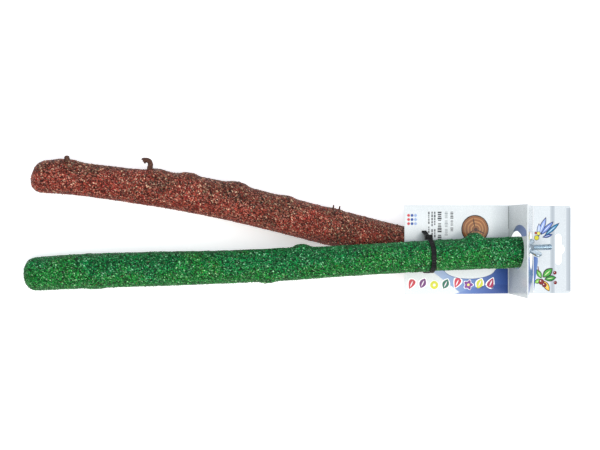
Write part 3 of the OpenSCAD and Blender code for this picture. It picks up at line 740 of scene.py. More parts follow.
card = {"width": 91.0, "panelL": 109.0, "tentBase": 26.0, "tentH": 46.0, "tentLean": 0.2, "headerL": 41.0,
        "boardT": 0.6, "creaseGap": 0.25, "holeR": 19.25, "holeBridge": 0.6, "rearHoleRise": 1.2,
        "cornerR": 2.5, "slotL": 32.0, "slotW": 7.0, "slotFullW": 10.5, "slotMargin": 6.6, "slitGap": 0.45,
        "crease": 35}
green, red = branches["green"], branches["red"]
cardAlong = unit(np.array(joints["green_wing_nut_turn"]["axis"], float) * [1, 0, 1])
cardUp = np.array([-cardAlong[2], 0, cardAlong[0]])
cardAxes = np.array([cardAlong, [0, 1, 0], cardUp])
rearLean = math.atan2(card["tentBase"] - card["tentLean"], card["tentH"])
headerX = card["panelL"] + card["tentBase"]
footOut = card["boardT"] * math.tan(rearLean)
creaseX = headerX + footOut + card["creaseGap"]
cardL = headerX + card["headerL"]
crease = np.array(joints["header_fold"]["pos_m"])
cardOrigin = crease - (cardAlong * creaseX - cardUp * card["boardT"] / 2) * mm
cardHome = {"body": "root", "origin": cardOrigin, "axes": cardAxes}
greenEnd = cardAxes @ (green["origin"] - cardOrigin) / mm
greenYaw = math.atan2(green["axes"][0][1], green["axes"][0] @ cardAlong)
boltHeight = greenEnd[2]
print("card's edge at", cardOrigin.round(4), "green end", greenEnd.round(3))


# Cable tie: one loop round both branches, through two slits of the panel

tie = {"x": 21.5, "width": 4.8, "thick": 1.3, "gap": 0.5, "redGap": 2.4, "swingRoom": 19.5, "floorGap": 0.1,
       "headW": 7.4, "headL": 6.6, "headT": 4.8, "headR": 1.1, "headAngle": -6,
       "headRings": [(1, 1, 4.8), (1, 1, 4.2), (1, 1, 0.9), (0.97, 0.97, 0.35), (0.9, 0.9, 0.06),
                     (0.82, 0.82, 0), (0.6, 0.66, 0), (0.56, 0.62, 0.15), (0.54, 0.6, 1.3)],
       "tail": 1.4, "tailR": 0.3, "tailIn": 1.2, "tailEdge": 0.15, "tailShare": 0.92, "tailUp": 2.5,
       "crease": 32, "arcSteps": 120, "samples": 900,
       "railDrop": 0.12, "bedDrop": 0.3, "railW": 0.5, "bedSlopes": [0.15, 0.1], "bevel": 0.15,
       "ribPitch": 1.45, "ribDepth": 0.25, "ribTop": 1.5, "ribFlank": 6, "beadPitch": 2.9, "beadRise": 0.3,
       "beadFrom": 0.5, "waist": 0.08}


def tieLoop():
    # centres and radii in (across, height) over the panel: round the green branch, and round the red one
    # where the strap meets it below the tilted card
    back = greenEnd[0] - tie["x"]
    place = 1 - back / math.cos(greenYaw) / green["length"]
    upperR = branchRadius(green, place) + tie["gap"]
    across = greenEnd[1] - back * math.tan(greenYaw) + branchBend(green, place)
    swing = math.radians(tie["swingRoom"])
    lowerR = branchRadius(red, red["liftPlace"]) / math.cos(swing) + tie["width"] / 2 * math.tan(swing)
    lowerR += tie["redGap"]
    lift, sinTilt, cosTilt = cardOrigin[2] / mm, cardAlong[2], cardAlong[0]
    low = (tie["floorGap"] - lift - (tie["x"] - tie["width"] / 2) * sinTilt) / cosTilt + tie["thick"]
    redEnd = (red["origin"] - cardOrigin)[:2] / mm
    redYaw = math.atan2(-red["axes"][0][1], red["axes"][0][0])
    back = redEnd[0] - tie["x"] * cosTilt - (lift - branchHeight(red, red["liftPlace"])) * sinTilt
    redY = redEnd[1] + back * math.tan(redYaw) + branchBend(red, 1 - back / math.cos(redYaw) / red["length"])
    return across, np.array([0, boltHeight]), upperR, np.array([redY - across, low + lowerR]), lowerR


def beltTurns(upperC, upperR, lowerC, lowerR):
    # the way from the upper centre to the lower one, and the angle from it at which the strap's straight
    # runs leave: acos((R - r) / span)
    span = lowerC - upperC
    return math.atan2(span[1], span[0]), math.acos((upperR - lowerR) / np.linalg.norm(span))


def beltPath(upperC, upperR, lowerC, lowerR):
    # two arcs and the straight runs between them, evenly spaced, with the way out at every point
    facing, turn = beltTurns(upperC, upperR, lowerC, lowerR)
    once = 2 * math.pi
    t = np.linspace([facing + turn, facing - turn + once], [facing - turn + once, facing + turn + once],
                    tie["arcSteps"], axis=1)
    ways = np.stack([np.cos(t), np.sin(t)], -1)
    points = np.array([upperC, lowerC])[:, None] + np.array([upperR, lowerR])[:, None, None] * ways
    points, ways = (np.vstack([v.reshape(-1, 2), v[0, :1]]) for v in (points, ways))
    length = runLength(points)
    s = np.linspace(0, length[-1], tie["samples"] + 1)[:-1]
    return s, readAt(s, length, points), unit(readAt(s, length, ways))


def strapRows(s, points, ways):
    # cross-section: two side rails and a lower ribbed bed, each bead of the strap a little proud, with a
    # slight waist between beads; a whole number of beads and ribs goes round the loop
    half, bevel, side = tie["width"] / 2, tie["bevel"], tie["railW"]
    rail, rim = tie["thick"] - tie["railDrop"], tie["thick"] - tie["bedDrop"]
    turns = s / (s[-1] + s[1])
    ribs, beads = (round(s[-1] / tie[pitch]) for pitch in ("ribPitch", "beadPitch"))
    rib = np.clip(tie["ribTop"] - np.abs((turns * ribs) % 1 - 0.5) * tie["ribFlank"], 0, 1)
    swell = 0.5 - 0.5 * np.cos(turns * beads * 2 * math.pi)
    bed = rim - tie["ribDepth"] + tie["ribDepth"] * rib
    slopes = tie["bedSlopes"]
    section = [(bevel - half, 0), (half - bevel, 0), (half, bevel), (half, rim), (half - bevel, rail),
               (half - side, rail), (half - side - slopes[0], bed), (side + slopes[1] - half, bed),
               (side - half, rail), (bevel - half, rail), (-half, rim), (-half, bevel)]
    rows = []
    for w, height in section:
        height = height + 0 * s
        here = points + ways * (height + tie["beadRise"] * swell * (height > tie["beadFrom"]))[:, None]
        rows.append(np.column_stack([w * (1 - tie["waist"] * (1 - swell)), here]))
    return np.stack(rows, 1)


def tieHead(upperR, upperC):
    # a moulded box of rings, (share of its width, share of its length, mm below its top), with rounded edges
    # and a sunk pawl window, and the cut tail that stands out of it
    a = math.radians(tie["headAngle"])
    axes = np.array([[1, 0, 0], [0, -math.sin(a), math.cos(a)], [0, math.cos(a), math.sin(a)]])
    top = upperR + tie["thick"] / 4 + tie["headT"]
    outline = roundedRect(tie["headW"] / 2, tie["headL"] / 2, tie["headR"])
    box = np.array([np.column_stack([outline * [su, sv], np.full(len(outline), top - down)])
                    for su, sv, down in tie["headRings"]])
    tail = roundedRect(tie["width"] / 2, tie["thick"] / 2, tie["tailR"])
    mid, edge = upperR + tie["thick"] * tie["tailUp"], tie["headL"] / 2
    end = edge + tie["tail"]
    rows = [np.column_stack([tail[:, 0] * share, np.full(len(tail), v), mid + tail[:, 1] * share])
            for share, v in ((1, edge - tie["tailIn"]), (1, end - tie["tailEdge"]), (tie["tailShare"], end))]
    points, faces = joined([closedSkin(box[:, ::-1]), closedSkin(np.array(rows))])
    return np.array([0, *upperC]) + points @ axes, faces


def makeTie():
    # the loop and its head, turned with the green branch
    across, *loop = tieLoop()
    upperC, upperR = loop[:2]
    strap = closedSkin(strapRows(*beltPath(*loop)), caps=False)
    points, faces = joined([strap, tieHead(upperR, upperC)])
    cosYaw, sinYaw = math.cos(greenYaw), math.sin(greenYaw)
    points = points @ np.array([[cosYaw, sinYaw, 0], [-sinYaw, cosYaw, 0], [0, 0, 1]]) + [tie["x"], across, 0]
    makePiece("ribbed_cable_tie", cardHome, points, faces, nylon, "black_nylon", ["cable_tie"], tie["crease"])
    return across, loop


tieAcross, (upperC, upperR, lowerC, lowerR) = makeTie()
print("tie made, loop radii", round(upperR, 3), round(lowerR, 3))


# Folded board: a sheet in (along the fold path, across), folded up by its path and cut to its outlines

def foldPath(corners, radii, start=0.0):
    # straight runs joined by round folds: an arc of the given radius on the outer face at each corner,
    # reaching radius * tan(turn / 2) back along both runs
    corners = np.array(corners, float)
    points, ways = [corners[0]], []
    for k, radius in enumerate(radii, 1):
        before, after = corners[k] - corners[k - 1], corners[k + 1] - corners[k]
        turn = math.atan2(before[0] * after[1] - before[1] * after[0], before @ after)
        before = unit(before)
        way = np.array([-before[1], before[0]])
        ways = ways or [way]
        first = corners[k] - before * radius * math.tan(abs(turn) / 2)
        side = math.copysign(radius, turn)
        for t in np.linspace(0, turn, folds["steps"]):
            spun = way * math.cos(t) + np.array([-way[1], way[0]]) * math.sin(t)
            points.append(first + (way - spun) * side)
            ways.append(spun)
    points.append(corners[-1])
    ways.append(ways[-1])
    return runLength(np.array(points)) + start, np.array(points), np.array(ways)


def onPath(sheet, s, y, lift):
    # a point of the sheet's outer face: the fold path at s, lifted along its way out by so much and by a slow
    # noise, as damp board is warped a little
    length, points, ways = sheet["path"]
    s, y, lift = np.broadcast_arrays(*(np.asarray(v, float) for v in (s, y, lift)))
    patches = softNoise(np.stack([s, y, 0 * s], -1) + folds["warpFrom"], folds["warpMm"], sheet["seed"])
    up = lift + sheet["warp"] * (patches - 0.5)
    there = readAt(s, length, points) + readAt(s, length, ways) * up[..., None]
    return np.stack([there[..., 0], y, there[..., 1]], -1)


# how a cut is found on the grid: its corners move on to it in a few rounds from half a cell away, by slopes
# probed over a short step, and a cell stays if its middle lies in the board by a share of its size
cutting = {"rounds": 3, "probe": 0.02, "reach": 0.51, "leastSlope": 0.1, "keep": 0.1, "leastCell": 0.3,
           "leastGap": 0.04}


def gridLines(knots, *stretches):
    # grid lines from stretches of (start, end, spacing), with the fold's own knots among them
    out = [start + (end - start) * np.linspace(0, 1, max(2, round((end - start) / gap) + 1))
           for start, end, gap in stretches]
    every = np.unique(np.round(np.concatenate(out + [np.asarray(knots, float)]), 4))
    return every[np.concatenate([[True], np.diff(every) > cutting["leastGap"]])]


def cutSheet(sheet, sLines, yLines, inside):
    # a grid whose corners near a cut are moved on to it, kept where its cells lie in the board, then
    # given its thickness; inside(s, y) is the distance to the nearest cut, positive in the board
    s, y = np.meshgrid(sLines, yLines, indexing="ij")
    gapS, gapY, step = np.gradient(sLines)[:, None], np.gradient(yLines)[None, :], cutting["probe"]
    for _ in range(cutting["rounds"]):
        f = inside(s, y)
        gs, gy = (inside(s + step, y) - f) / step, (inside(s, y + step) - f) / step
        span = np.abs(gs) * gapS + np.abs(gy) * gapY
        near = (np.abs(f) < span * cutting["reach"]) / np.maximum(gs ** 2 + gy ** 2, cutting["leastSlope"])
        s, y = s - near * f * gs, y - near * f * gy
    s, y = np.clip(s, sLines[0], sLines[-1]), np.clip(y, yLines[0], yLines[-1])
    middle = [(v[:-1, :-1] + v[1:, :-1] + v[:-1, 1:] + v[1:, 1:]) / 4 for v in (s, y)]
    keep = inside(*middle) > np.maximum(span[:-1, :-1], cutting["leastCell"]) * cutting["keep"]
    number = np.arange(s.size).reshape(s.shape)
    quads = np.stack([number[:-1, :-1], number[1:, :-1], number[1:, 1:], number[:-1, 1:]], -1)[keep]
    both = [onPath(sheet, s, y, lift).reshape(-1, 3) for lift in (0.0, -card["boardT"])]
    edges = np.concatenate([quads[:, [k, (k + 1) % 4]] for k in range(4)])
    ordered = np.sort(edges, 1)
    single = np.unique(ordered[:, 0] * s.size + ordered[:, 1], return_index=True, return_counts=True)
    rim = edges[single[1][single[2] == 1]]
    walls = np.column_stack([rim[:, 1], rim[:, 0], rim[:, 0] + s.size, rim[:, 1] + s.size])
    faces = np.vstack([quads, quads[:, ::-1] + s.size, walls])
    used = np.unique(faces)
    renumber = np.zeros(2 * s.size, int)
    renumber[used] = np.arange(len(used))
    return np.vstack(both)[used], [renumber[faces]]


def boxCut(s, y, centre, halfS, halfY):
    # distance from a straight-sided slit: hypot of what passes its sides, or inside it the nearer side's
    ds, dy = np.abs(s - centre[0]) - halfS, np.abs(y - centre[1]) - halfY
    return np.hypot(np.maximum(ds, 0), np.maximum(dy, 0)) + np.minimum(np.maximum(ds, dy), 0)


folds = {"panelR": 0.5, "ridgeR": 0.75, "ridgeUp": 2.2, "bowAt": 154.0, "bow": 0.8, "bowR": 60.0, "steps": 12,
         "warpFrom": 300, "warpMm": 26.0, "fine": 1.0, "coarse": 1.9, "slitsFrom": 16, "slitsTo": 28,
         "headerAcross": 0.9, "headerPlain": 1.4, "headerSlot": 0.8, "slotFrom": 156}
ridge = (card["panelL"] + card["tentLean"], card["tentH"] + folds["ridgeUp"])
foot = (headerX + footOut, -card["boardT"])
rootSheet = {**cardHome, "seed": 5, "warp": 0.2, "path": foldPath(
    [(0, 0), (card["panelL"], 0), ridge, foot], [folds["panelR"], folds["ridgeR"]])}
headerSheet = {**cardHome, "body": "header", "seed": 6, "warp": 0.18, "path": foldPath(
    [(creaseX, 0), (folds["bowAt"], 0), (cardL, -folds["bow"])], [folds["bowR"]], creaseX)}


def alongFor(sheet, height, rear):
    # where the fold's path passes a height on the tent's front or rear wall
    length, points = sheet["path"][:2]
    top = int(points[:, 1].argmax())
    part = slice(top, None, None) if rear else slice(2, top)
    order = np.argsort(points[part, 1])
    return float(np.interp(height, points[part, 1][order], length[part][order]))


def slitPlaces():
    # the strap crosses the board where its middle line does, on both sides of the green branch
    facing, turn = beltTurns(upperC, upperR, lowerC, lowerR)
    out = []
    for a in (facing + turn, facing - turn):
        at = ((upperC[1] + card["boardT"] / 2) * math.sin(a) + upperR + tie["thick"] / 2) / math.cos(a)
        out.append((tie["x"] - at * math.sin(greenYaw), tieAcross + at * math.cos(greenYaw)))
    return out


frontHole = alongFor(rootSheet, card["holeBridge"] + card["holeR"], False)
rearHole = alongFor(rootSheet, boltHeight + card["rearHoleRise"], True)
slits = slitPlaces()
slitHalfS, slitHalfY = tie["width"] / 2 + card["slitGap"], tie["thick"] / 2 + card["slitGap"]


def inPanel(s, y):
    # distance to the nearest of two round holes and two slits
    cuts = [np.hypot(s - hole, y) - card["holeR"] for hole in (frontHole, rearHole)]
    return np.minimum.reduce(cuts + [boxCut(s, y, slit, slitHalfS, slitHalfY) for slit in slits])


def inHeader(s, y):
    # distance to the nearest of the slot's long arm, its round notch and the two rounded corners
    armR, r = card["slotW"] / 2, card["cornerR"]
    armX = cardL - card["slotMargin"] - card["slotFullW"] + armR
    notchX = cardL - card["slotMargin"] - card["slotFullW"] / 2
    arm = np.hypot(s - armX, np.maximum(np.abs(y) - card["slotL"] / 2 + armR, 0)) - armR
    notch = np.hypot(s - notchX, y) - card["slotFullW"] / 2
    ds, dy = s - cardL + r, np.abs(y) - card["width"] / 2 + r
    corner = np.where((ds > 0) & (dy > 0), r - np.hypot(ds, dy), 9.0)
    return np.minimum.reduce([arm, notch, corner])


def makeBoards():
    # grid lines closer together at the slits, the tent and the slot
    half, fine, coarse = card["width"] / 2, folds["fine"], folds["coarse"]
    length = rootSheet["path"][0]
    wall, end = length[1], length[-1]
    sides = [slit[1] + side * slitHalfY for slit in slits for side in (-1, 1)]
    ends = [slit[0] + side * slitHalfS for slit in slits for side in (-1, 1)]
    near, past = folds["slitsFrom"], folds["slitsTo"]
    sLines = gridLines(list(length) + ends, (0, near, coarse), (near, past, fine), (past, wall, coarse),
                       (wall, end, fine))
    sheet = cutSheet(rootSheet, sLines, gridLines(sides, (-half, half, fine)), inPanel)
    makePiece("folded_hang_card", rootSheet, *sheet, board, "printed_board", ["hang_card"], card["crease"])
    sLines = gridLines(headerSheet["path"][0][-1:], (creaseX, folds["slotFrom"], folds["headerPlain"]),
                       (folds["slotFrom"], cardL, folds["headerSlot"]))
    sheet = cutSheet(headerSheet, sLines, gridLines([], (-half, half, folds["headerAcross"])), inHeader)
    makePiece("slotted_header", headerSheet, *sheet, greyBoard, "printed_board", ["card_header"],
              card["crease"])


makeBoards()
print("card folded and cut")


# Prints: inks stand a hair over the board and sink into it below; all motifs are plain leaves, drops, discs,
# bars and waves. The grey marks and line on the tent are painted shade, and two grey header bands are painted
# reflection. A flat print is (outline, tint, layer), and a strip is a mesh of its own with its tints

inkLift = {"over": 0.03, "layer": 0.03, "under": 0.1, "middleShare": 0.3, "topShare": 0.7}


def inkPatch(sheet, outline, tint, layer=0):
    # a star-shaped patch from its middle out to an anticlockwise outline in (along, across)
    outline = np.asarray(outline, float)
    middle = outline.mean(0)
    top, under = inkLift["over"] + inkLift["layer"] * layer, -inkLift["under"]
    rows = []
    for share, lift in ((inkLift["middleShare"], under), (1, under), (1, top), (inkLift["topShare"], top),
                        (inkLift["middleShare"], top)):
        there = middle + (outline - middle) * share
        rows.append(onPath(sheet, there[:, 0], there[:, 1], lift))
    points, faces = closedSkin(np.array(rows))
    return points, faces, np.tile(linear(tint), (len(points), 1))


def blended(share, tints, times):
    # tints blended evenly along a strip, each for so many points across it
    stops = np.array([linear(tint) for tint in tints])
    return np.repeat(readAt(share, np.linspace(0, 1, len(stops)), stops), times, axis=0)


def inkStrip(sheet, s, low, high, tints, layer=0):
    # a strip between two edges, low + (high - low) * share, over and under, with its own tints along it
    across = np.linspace(0, 1, 9)
    share = np.concatenate([across, across[::-1]])
    count = len(share)
    lift = np.where(np.arange(count) < count / 2, -inkLift["under"], inkLift["over"] + inkLift["layer"] * layer)
    y = low[:, None] + (high - low)[:, None] * share[None, :]
    points, faces = closedSkin(onPath(sheet, np.broadcast_to(s[:, None], y.shape), y, lift[None, :]))
    return points, faces, blended((s - s[0]) / (s[-1] - s[0]), tints, count)


def between(start, end, half, count):
    # the two sides of a straight line, each half(u) away from it at a share u of its length
    start, end = np.array(start, float), np.array(end, float)
    u = np.linspace(0, 1, count)
    half = half(u)[:, None] * unit(np.array([end[1] - start[1], start[0] - end[0]]))
    middle = start + u[:, None] * (end - start)
    return middle + half, middle - half


def leafOutline(start, end, width, kind="leaf"):
    # half width along the middle line: sin(pi u) ^ 0.85 for a leaf, sin(pi u ^ 0.55) ^ 0.8 for a drop
    early, sharp = (1, 0.85) if kind == "leaf" else (0.55, 0.8)
    right, left = between(start, end, lambda u: width / 2 * np.sin(math.pi * u ** early) ** sharp, 17)
    return np.vstack([right, left[-2:0:-1]])


def bar(start, end, width):
    # a plain printed line
    right, left = between(start, end, lambda u: width / 2 + 0 * u, 7)
    return np.vstack([right, left[::-1]])


def roundOutline(centre, radius, petals=0, depth=0.0, steps=40):
    # a closed line at radius * (1 + depth cos(petals t)) from its centre
    t = circle(steps)
    r = radius * (1 + depth * np.cos(petals * t))
    return np.stack([centre[0] + r * np.cos(t), centre[1] + r * np.sin(t)], 1)


def discs(centre, sizes, layer, petals=0, depth=0.0, steps=40):
    # discs or flowers one over another, each (radius, tint)
    return [(roundOutline(centre, r, petals, depth, steps), tint, layer + k)
            for k, (r, tint) in enumerate(sizes)]


# the coloured leaf and the vein inside a leaf's rim, as shares of its length and width
leafShares = {"in": 0.08, "width": 0.72, "veinStart": 0.2, "veinEnd": 0.25, "veinWidth": 0.13}


def veinedLeaf(start, end, width, tint, rim, vein, kind="leaf"):
    # rim, coloured leaf and middle vein, each inside the last by a share of its length at either end
    start, end = np.array(start, float), np.array(end, float)
    run, shares = end - start, leafShares
    inner = leafOutline(start + run * shares["in"], end - run * shares["in"], width * shares["width"], kind)
    middle = leafOutline(start + run * shares["veinStart"], end - run * shares["veinEnd"],
                         width * shares["veinWidth"])
    return [(leafOutline(start, end, width, kind), rim, 1), (inner, tint, 2), (middle, vein, 3)]


# a wave printed across the panel: each stretch of tints runs along it
wave = {"start": 28.0, "end": 108.3, "middle": 68.0, "half": 27.0, "dip": 10.2, "edgeGap": 0.25, "lowY": -21.5,
        "fall": 0.75, "highY": -19.5, "rimW": 0.7, "crestStart": 52.0, "crestRise": 9.5, "crestTurn": 0.62,
        "crestLeast": 0.05,
        "tints": ["#a9b9d6", "#8da6cf", "#5f80bb", "#34589f", "#27478c"],
        "crestTints": ["#7d97c9", "#4a6cb0", "#2b4c93", "#22407f"],
        "rimTints": ["#5b78ae", "#33548f", "#1f3a78"]}


def waveStrips():
    # its lower edge falls in a straight line to the card's edge, its upper one dips under the branch by
    # sqrt(1 - ((s - middle) / half)^2), and a crest rises from the card's edge by a sine
    s = np.linspace(wave["start"], wave["end"], 60)
    edge = wave["edgeGap"] - card["width"] / 2
    low = np.maximum(wave["lowY"] - wave["fall"] * (s - wave["start"]), edge)
    high = wave["highY"] - wave["dip"] * np.sqrt(np.clip(1 - ((s - wave["middle"]) / wave["half"]) ** 2, 0, 1))
    crest = np.linspace(wave["crestStart"], wave["end"], 44)
    turn = (crest - crest[0]) / (crest[-1] - crest[0]) * math.pi * wave["crestTurn"]
    swell = np.maximum(edge + wave["crestRise"] * np.sin(turn), edge + wave["crestLeast"])
    return [inkStrip(rootSheet, s, low, high, wave["tints"]),
            inkStrip(rootSheet, crest, np.full(len(crest), edge), swell, wave["crestTints"], 1),
            inkStrip(rootSheet, s, high - wave["rimW"], high, wave["rimTints"], 1)]


# a cut slice of wood: bark, growth rings and three drying checks
woodSlice = {"centre": (73.5, 21.1), "r": 14.4, "drift": (0.9, -0.6), "lobes": 7, "wobble": 0.012,
             "rings": [(1.0, "#2b1d18"), (0.93, "#8a5632"), (0.8, "#b07a48"), (0.72, "#8e5a34"),
                       (0.58, "#bd8651"), (0.5, "#95603a"), (0.36, "#c08b57"), (0.28, "#8a5632"),
                       (0.13, "#4a2c1c")],
             "checks": [(100, 0.84), (215, 0.7), (335, 0.78)], "checkW": 1.1, "checkFrom": 0.1,
             "checkTint": "#3a241a"}


def slicePatches():
    # rings that alternate, each farther off centre by its share, with checks out from the pith
    centre, r, out = np.array(woodSlice["centre"]), woodSlice["r"], []
    for k, (share, tint) in enumerate(woodSlice["rings"]):
        middle = centre + np.array(woodSlice["drift"]) * (1 - share)
        wobble = woodSlice["wobble"] * (k > 0)
        out.append((roundOutline(middle, r * share, woodSlice["lobes"], wobble, 64), tint, k))
    for angle, reach in woodSlice["checks"]:
        way = np.array([math.cos(math.radians(angle)), math.sin(math.radians(angle))])
        check = leafOutline(centre + way * r * woodSlice["checkFrom"], centre + way * r * reach,
                            woodSlice["checkW"])
        out.append((check, woodSlice["checkTint"], len(woodSlice["rings"])))
    return out


# a row of motifs near the panel's edge
row = {"start": 7.0, "step": 11.9, "y": -35.0, "sway": 1.1, "swayTurn": 2.1, "width": 9.6, "rim": "#ffffff",
       "vein": "#f3e6ee", "dot": (0.5, 0.44, 0.16), "dotMiddle": "#f4f4e2", "flower": (0.5, 0.43, 0.14),
       "flowerMiddle": "#f6e27a", "petals": (5, 0.2), "tip": (0.28, 0.6),
       "motifs": [("drop", "#c22b3c"), ("leaf", "#6b2a72"), ("dot", "#d3d32b"), ("leaf", "#0f6a55"),
                  ("drop", "#c9304a"), ("flower", "#7a2d8a"), ("leaf", "#cfd034"), ("drop", "#a3174f")]}


def rowPatches():
    # the row sways across by sin(c k), and its leaves lean to alternate sides
    out, w, rim = [], row["width"], row["rim"]
    for k, (kind, tint) in enumerate(row["motifs"]):
        at = np.array([row["start"] + row["step"] * k, row["y"] + row["sway"] * math.sin(k * row["swayTurn"])])
        if kind == "dot":
            tints = (rim, tint, row["dotMiddle"])
            out += discs(at, [(w * share, colour) for share, colour in zip(row["dot"], tints)], 1)
        elif kind == "flower":
            outer, inner, middle = (w * share for share in row["flower"])
            out += discs(at, [(outer, rim), (inner, tint)], 1, *row["petals"], 60)
            out += discs(at, [(middle, row["flowerMiddle"])], 3)
        else:
            tip = np.array(row["tip"]) * w * (1 if k % 2 else -1)
            out += veinedLeaf(at - tip, at + tip, w, tint, rim, row["vein"], kind)
    return out


# columns of short bars as (along, reach, width, bar's length, tint), and three rows of colour dots
bars = {"top": 38.8, "gap": 0.65, "long": (0.6, 0.9), "wide": (0.7, 0.3), "skip": 6,
        "columns": [(25.2, 21, 1.7, 1.9, "#5d6264"), (28.6, 24, 1.7, 2.4, "#50565a"),
                    (31.4, 26, 1.7, 2.1, "#50565a"), (36.4, 28, 4.4, 1.3, "#3a3f43"),
                    (43.4, 24, 3.4, 0.8, "#8b9295"), (49.2, 20, 3.2, 0.7, "#2f3336")],
        "dots": (4.2, 26.6), "dotSteps": (3.6, 4.2), "dotR": 1.5, "dotTints": ("#c8434a", "#2f4f97", "#8fa6cf")}


def barPatches():
    # every bar has its own length and width by its own number, with a gap in place of every sixth
    out, (short, more), (thin, wider) = [], bars["long"], bars["wide"]
    for x, reach, width, dash, tint in bars["columns"]:
        y, k = bars["top"], 0
        while y > bars["top"] - reach:
            k += 1
            chance = float(hashed(np.array([[k, int(x * 3), 1]]), 4)[0])
            long = dash * (short + more * chance)
            if k % bars["skip"]:
                out.append((bar((x, y), (x, y - long), width * (thin + wider * chance)), tint))
            y -= long + bars["gap"]
    for k in range(9):
        at = [start + step * n for start, step, n in zip(bars["dots"], bars["dotSteps"], (k % 3, k // 3))]
        out.append((roundOutline(at, bars["dotR"], steps=20), bars["dotTints"][k % 3]))
    return out


# on the tent: a band over the front hole, a wedge on the rear wall, perforation marks and a scored line; the
# marks and the line are painted shade, grey for the shade in the perforations and dark for the shade in the
# scored fold
tent = {"bandGap": 0.35, "bandR": 25.5, "bandX": 8, "inner": (60, 75), "outer": (68, 74), "ridgeGap": 1.6,
        "pastRidge": 0.93, "bandTints": ["#50698a", "#5c73a6", "#7f92c0"], "markDrop": 1.4,
        "wedgeY": (-43, 16, -6), "wedgeGap": 1.2, "wedgeEnd": 0.8, "wedgeTints": ["#5f7bbb", "#44689f"],
        "marks": {"start": 5.5, "step": 11.3, "long": 2.6, "width": 0.4, "tint": "#8d9291"},
        "creaseShade": {"from": 44.5, "to": 21.5, "back": 0.4, "width": 0.35, "tint": "#55595b"}}


def tentStrips():
    # the band lies between two arcs about the hole, cut straight at the ridge, and the wedge leaves the rear
    # hole free by its own circle
    share = np.linspace(0, 1, 44)
    inner, outer = (np.radians(start + turn * share) for start, turn in (tent["inner"], tent["outer"]))
    ridgeGap = alongFor(rootSheet, card["tentH"] - tent["ridgeGap"], False) - frontHole
    innerLine = np.stack([-np.cos(inner), np.sin(inner)], 1) * (card["holeR"] + tent["bandGap"])
    outerLine = np.stack([tent["bandX"] - tent["bandR"] * np.cos(outer), tent["bandR"] * np.sin(outer)], 1)
    outerLine[:, 1] *= np.where(outerLine[:, 0] > ridgeGap, tent["pastRidge"], 1)
    outerLine[:, 0] = np.minimum(outerLine[:, 0], ridgeGap)
    under, over = -inkLift["under"], inkLift["over"]
    lines = ((innerLine, under), (outerLine, under), (outerLine, over), ((innerLine + outerLine) / 2, over),
             (innerLine, over))
    rows = [onPath(rootSheet, frontHole + line[:, 0], line[:, 1], lift) for line, lift in lines]
    band = (*closedSkin(np.array(rows).transpose(1, 0, 2)), blended(share, tent["bandTints"], len(rows)))
    s = np.linspace(alongFor(rootSheet, card["tentH"] - tent["markDrop"], True),
                    rootSheet["path"][0][-1] - tent["wedgeEnd"], 40)
    start, taper, inside = tent["wedgeY"]
    r = card["holeR"] + tent["wedgeGap"]
    reach = np.sqrt(np.clip(1 - ((s - rearHole) / r) ** 2, 0, 1)) * r
    low = start + taper * (s - s[0]) / (s[-1] - s[0])
    return [band, inkStrip(rootSheet, s, low, np.minimum(inside + 0 * s, -reach), tent["wedgeTints"])]


def tentPaintedShade():
    # marks in a line across the tent near its ridge, and one line on the fold: painted shade of the
    # perforations and of the fold's crease
    marks, creaseShade = tent["marks"], tent["creaseShade"]
    top = alongFor(rootSheet, card["tentH"] - tent["markDrop"], False)
    places = [marks["start"] + marks["step"] * k for k in range(-4, 4)]
    fold = card["panelL"] - folds["panelR"] * creaseShade["back"]
    return [(bar((top, y), (top, y - marks["long"]), marks["width"]), marks["tint"]) for y in places] + [
        (bar((fold, creaseShade["from"]), (fold, creaseShade["to"]), creaseShade["width"]), creaseShade["tint"])]


# two leafy sprigs on the header: leaves as (start, end, width, tint), and rounds as (centre, radius, tint)
blueSprig = {"rim": "#26335c", "vein": "#dfe8f7", "husk": "#4a4a2c", "fill": 0.82,
             "leaves": [((141, 14), (149, 33.5), 5.6, "#8ea4dc"), ((143, 15), (157, 29), 5.2, "#6f87c9"),
                        ((147, 14), (163.5, 27.5), 4.6, "#2f7fa6"), ((141, 13), (141.5, 27), 4.4, "#b7c7ea"),
                        ((145, 12.5), (156, 15.5), 3.8, "#3b5597")],
             "rounds": [((138.8, 12.0), 2.7, "#d8d234"), ((140.8, 16.6), 2.0, "#e6dc62"),
                        ((137.9, 17.0), 1.4, "#a8443a")]}
berrySprig = {"rim": "#2a2f22", "vein": "#cfe6a6", "husk": "#23120f", "fill": 0.84,
              "leaves": [((145, -29), (156, -19.5), 8.2, "#3f9a3c"), ((144, -30), (139, -20.5), 5.4, "#57ad46"),
                         ((144, -31), (136.6, -34.5), 5.2, "#79bf4a"), ((147, -31), (160, -29), 6.4, "#2f8a3a"),
                         ((146, -32), (152.5, -43.5), 6.0, "#efb93e")],
              "rounds": [((143.8, -33.5), 3.1, "#7b1c22"), ((147.0, -36.8), 2.5, "#7b1c22"),
                         ((158.4, -24.2), 1.9, "#7b1c22"), ((158.9, -34.4), 1.8, "#7b1c22")],
              "glint": {"aside": 0.3, "r": 0.22, "tint": "#f2dede"},
              "stalk": ((140.2, -17.5), (141.2, -23.5), 0.9, "#6a3f36")}


def sprigPatches():
    # leaves first, then buds or berries, these with a glint up and to the left
    out = []
    for sprig in (blueSprig, berrySprig):
        for leaf in sprig["leaves"]:
            out += veinedLeaf(*leaf, sprig["rim"], sprig["vein"])
        for at, r, tint in sprig["rounds"]:
            out += discs(at, [(r, sprig["husk"]), (r * sprig["fill"], tint)], 4, steps=28)
            if "glint" in sprig:
                glint = sprig["glint"]
                aside = r * glint["aside"]
                out += discs((at[0] - aside, at[1] + aside), [(r * glint["r"], glint["tint"])], 6, steps=16)
    start, end, width, tint = berrySprig["stalk"]
    return out + [(bar(start, end, width), tint, 4)]


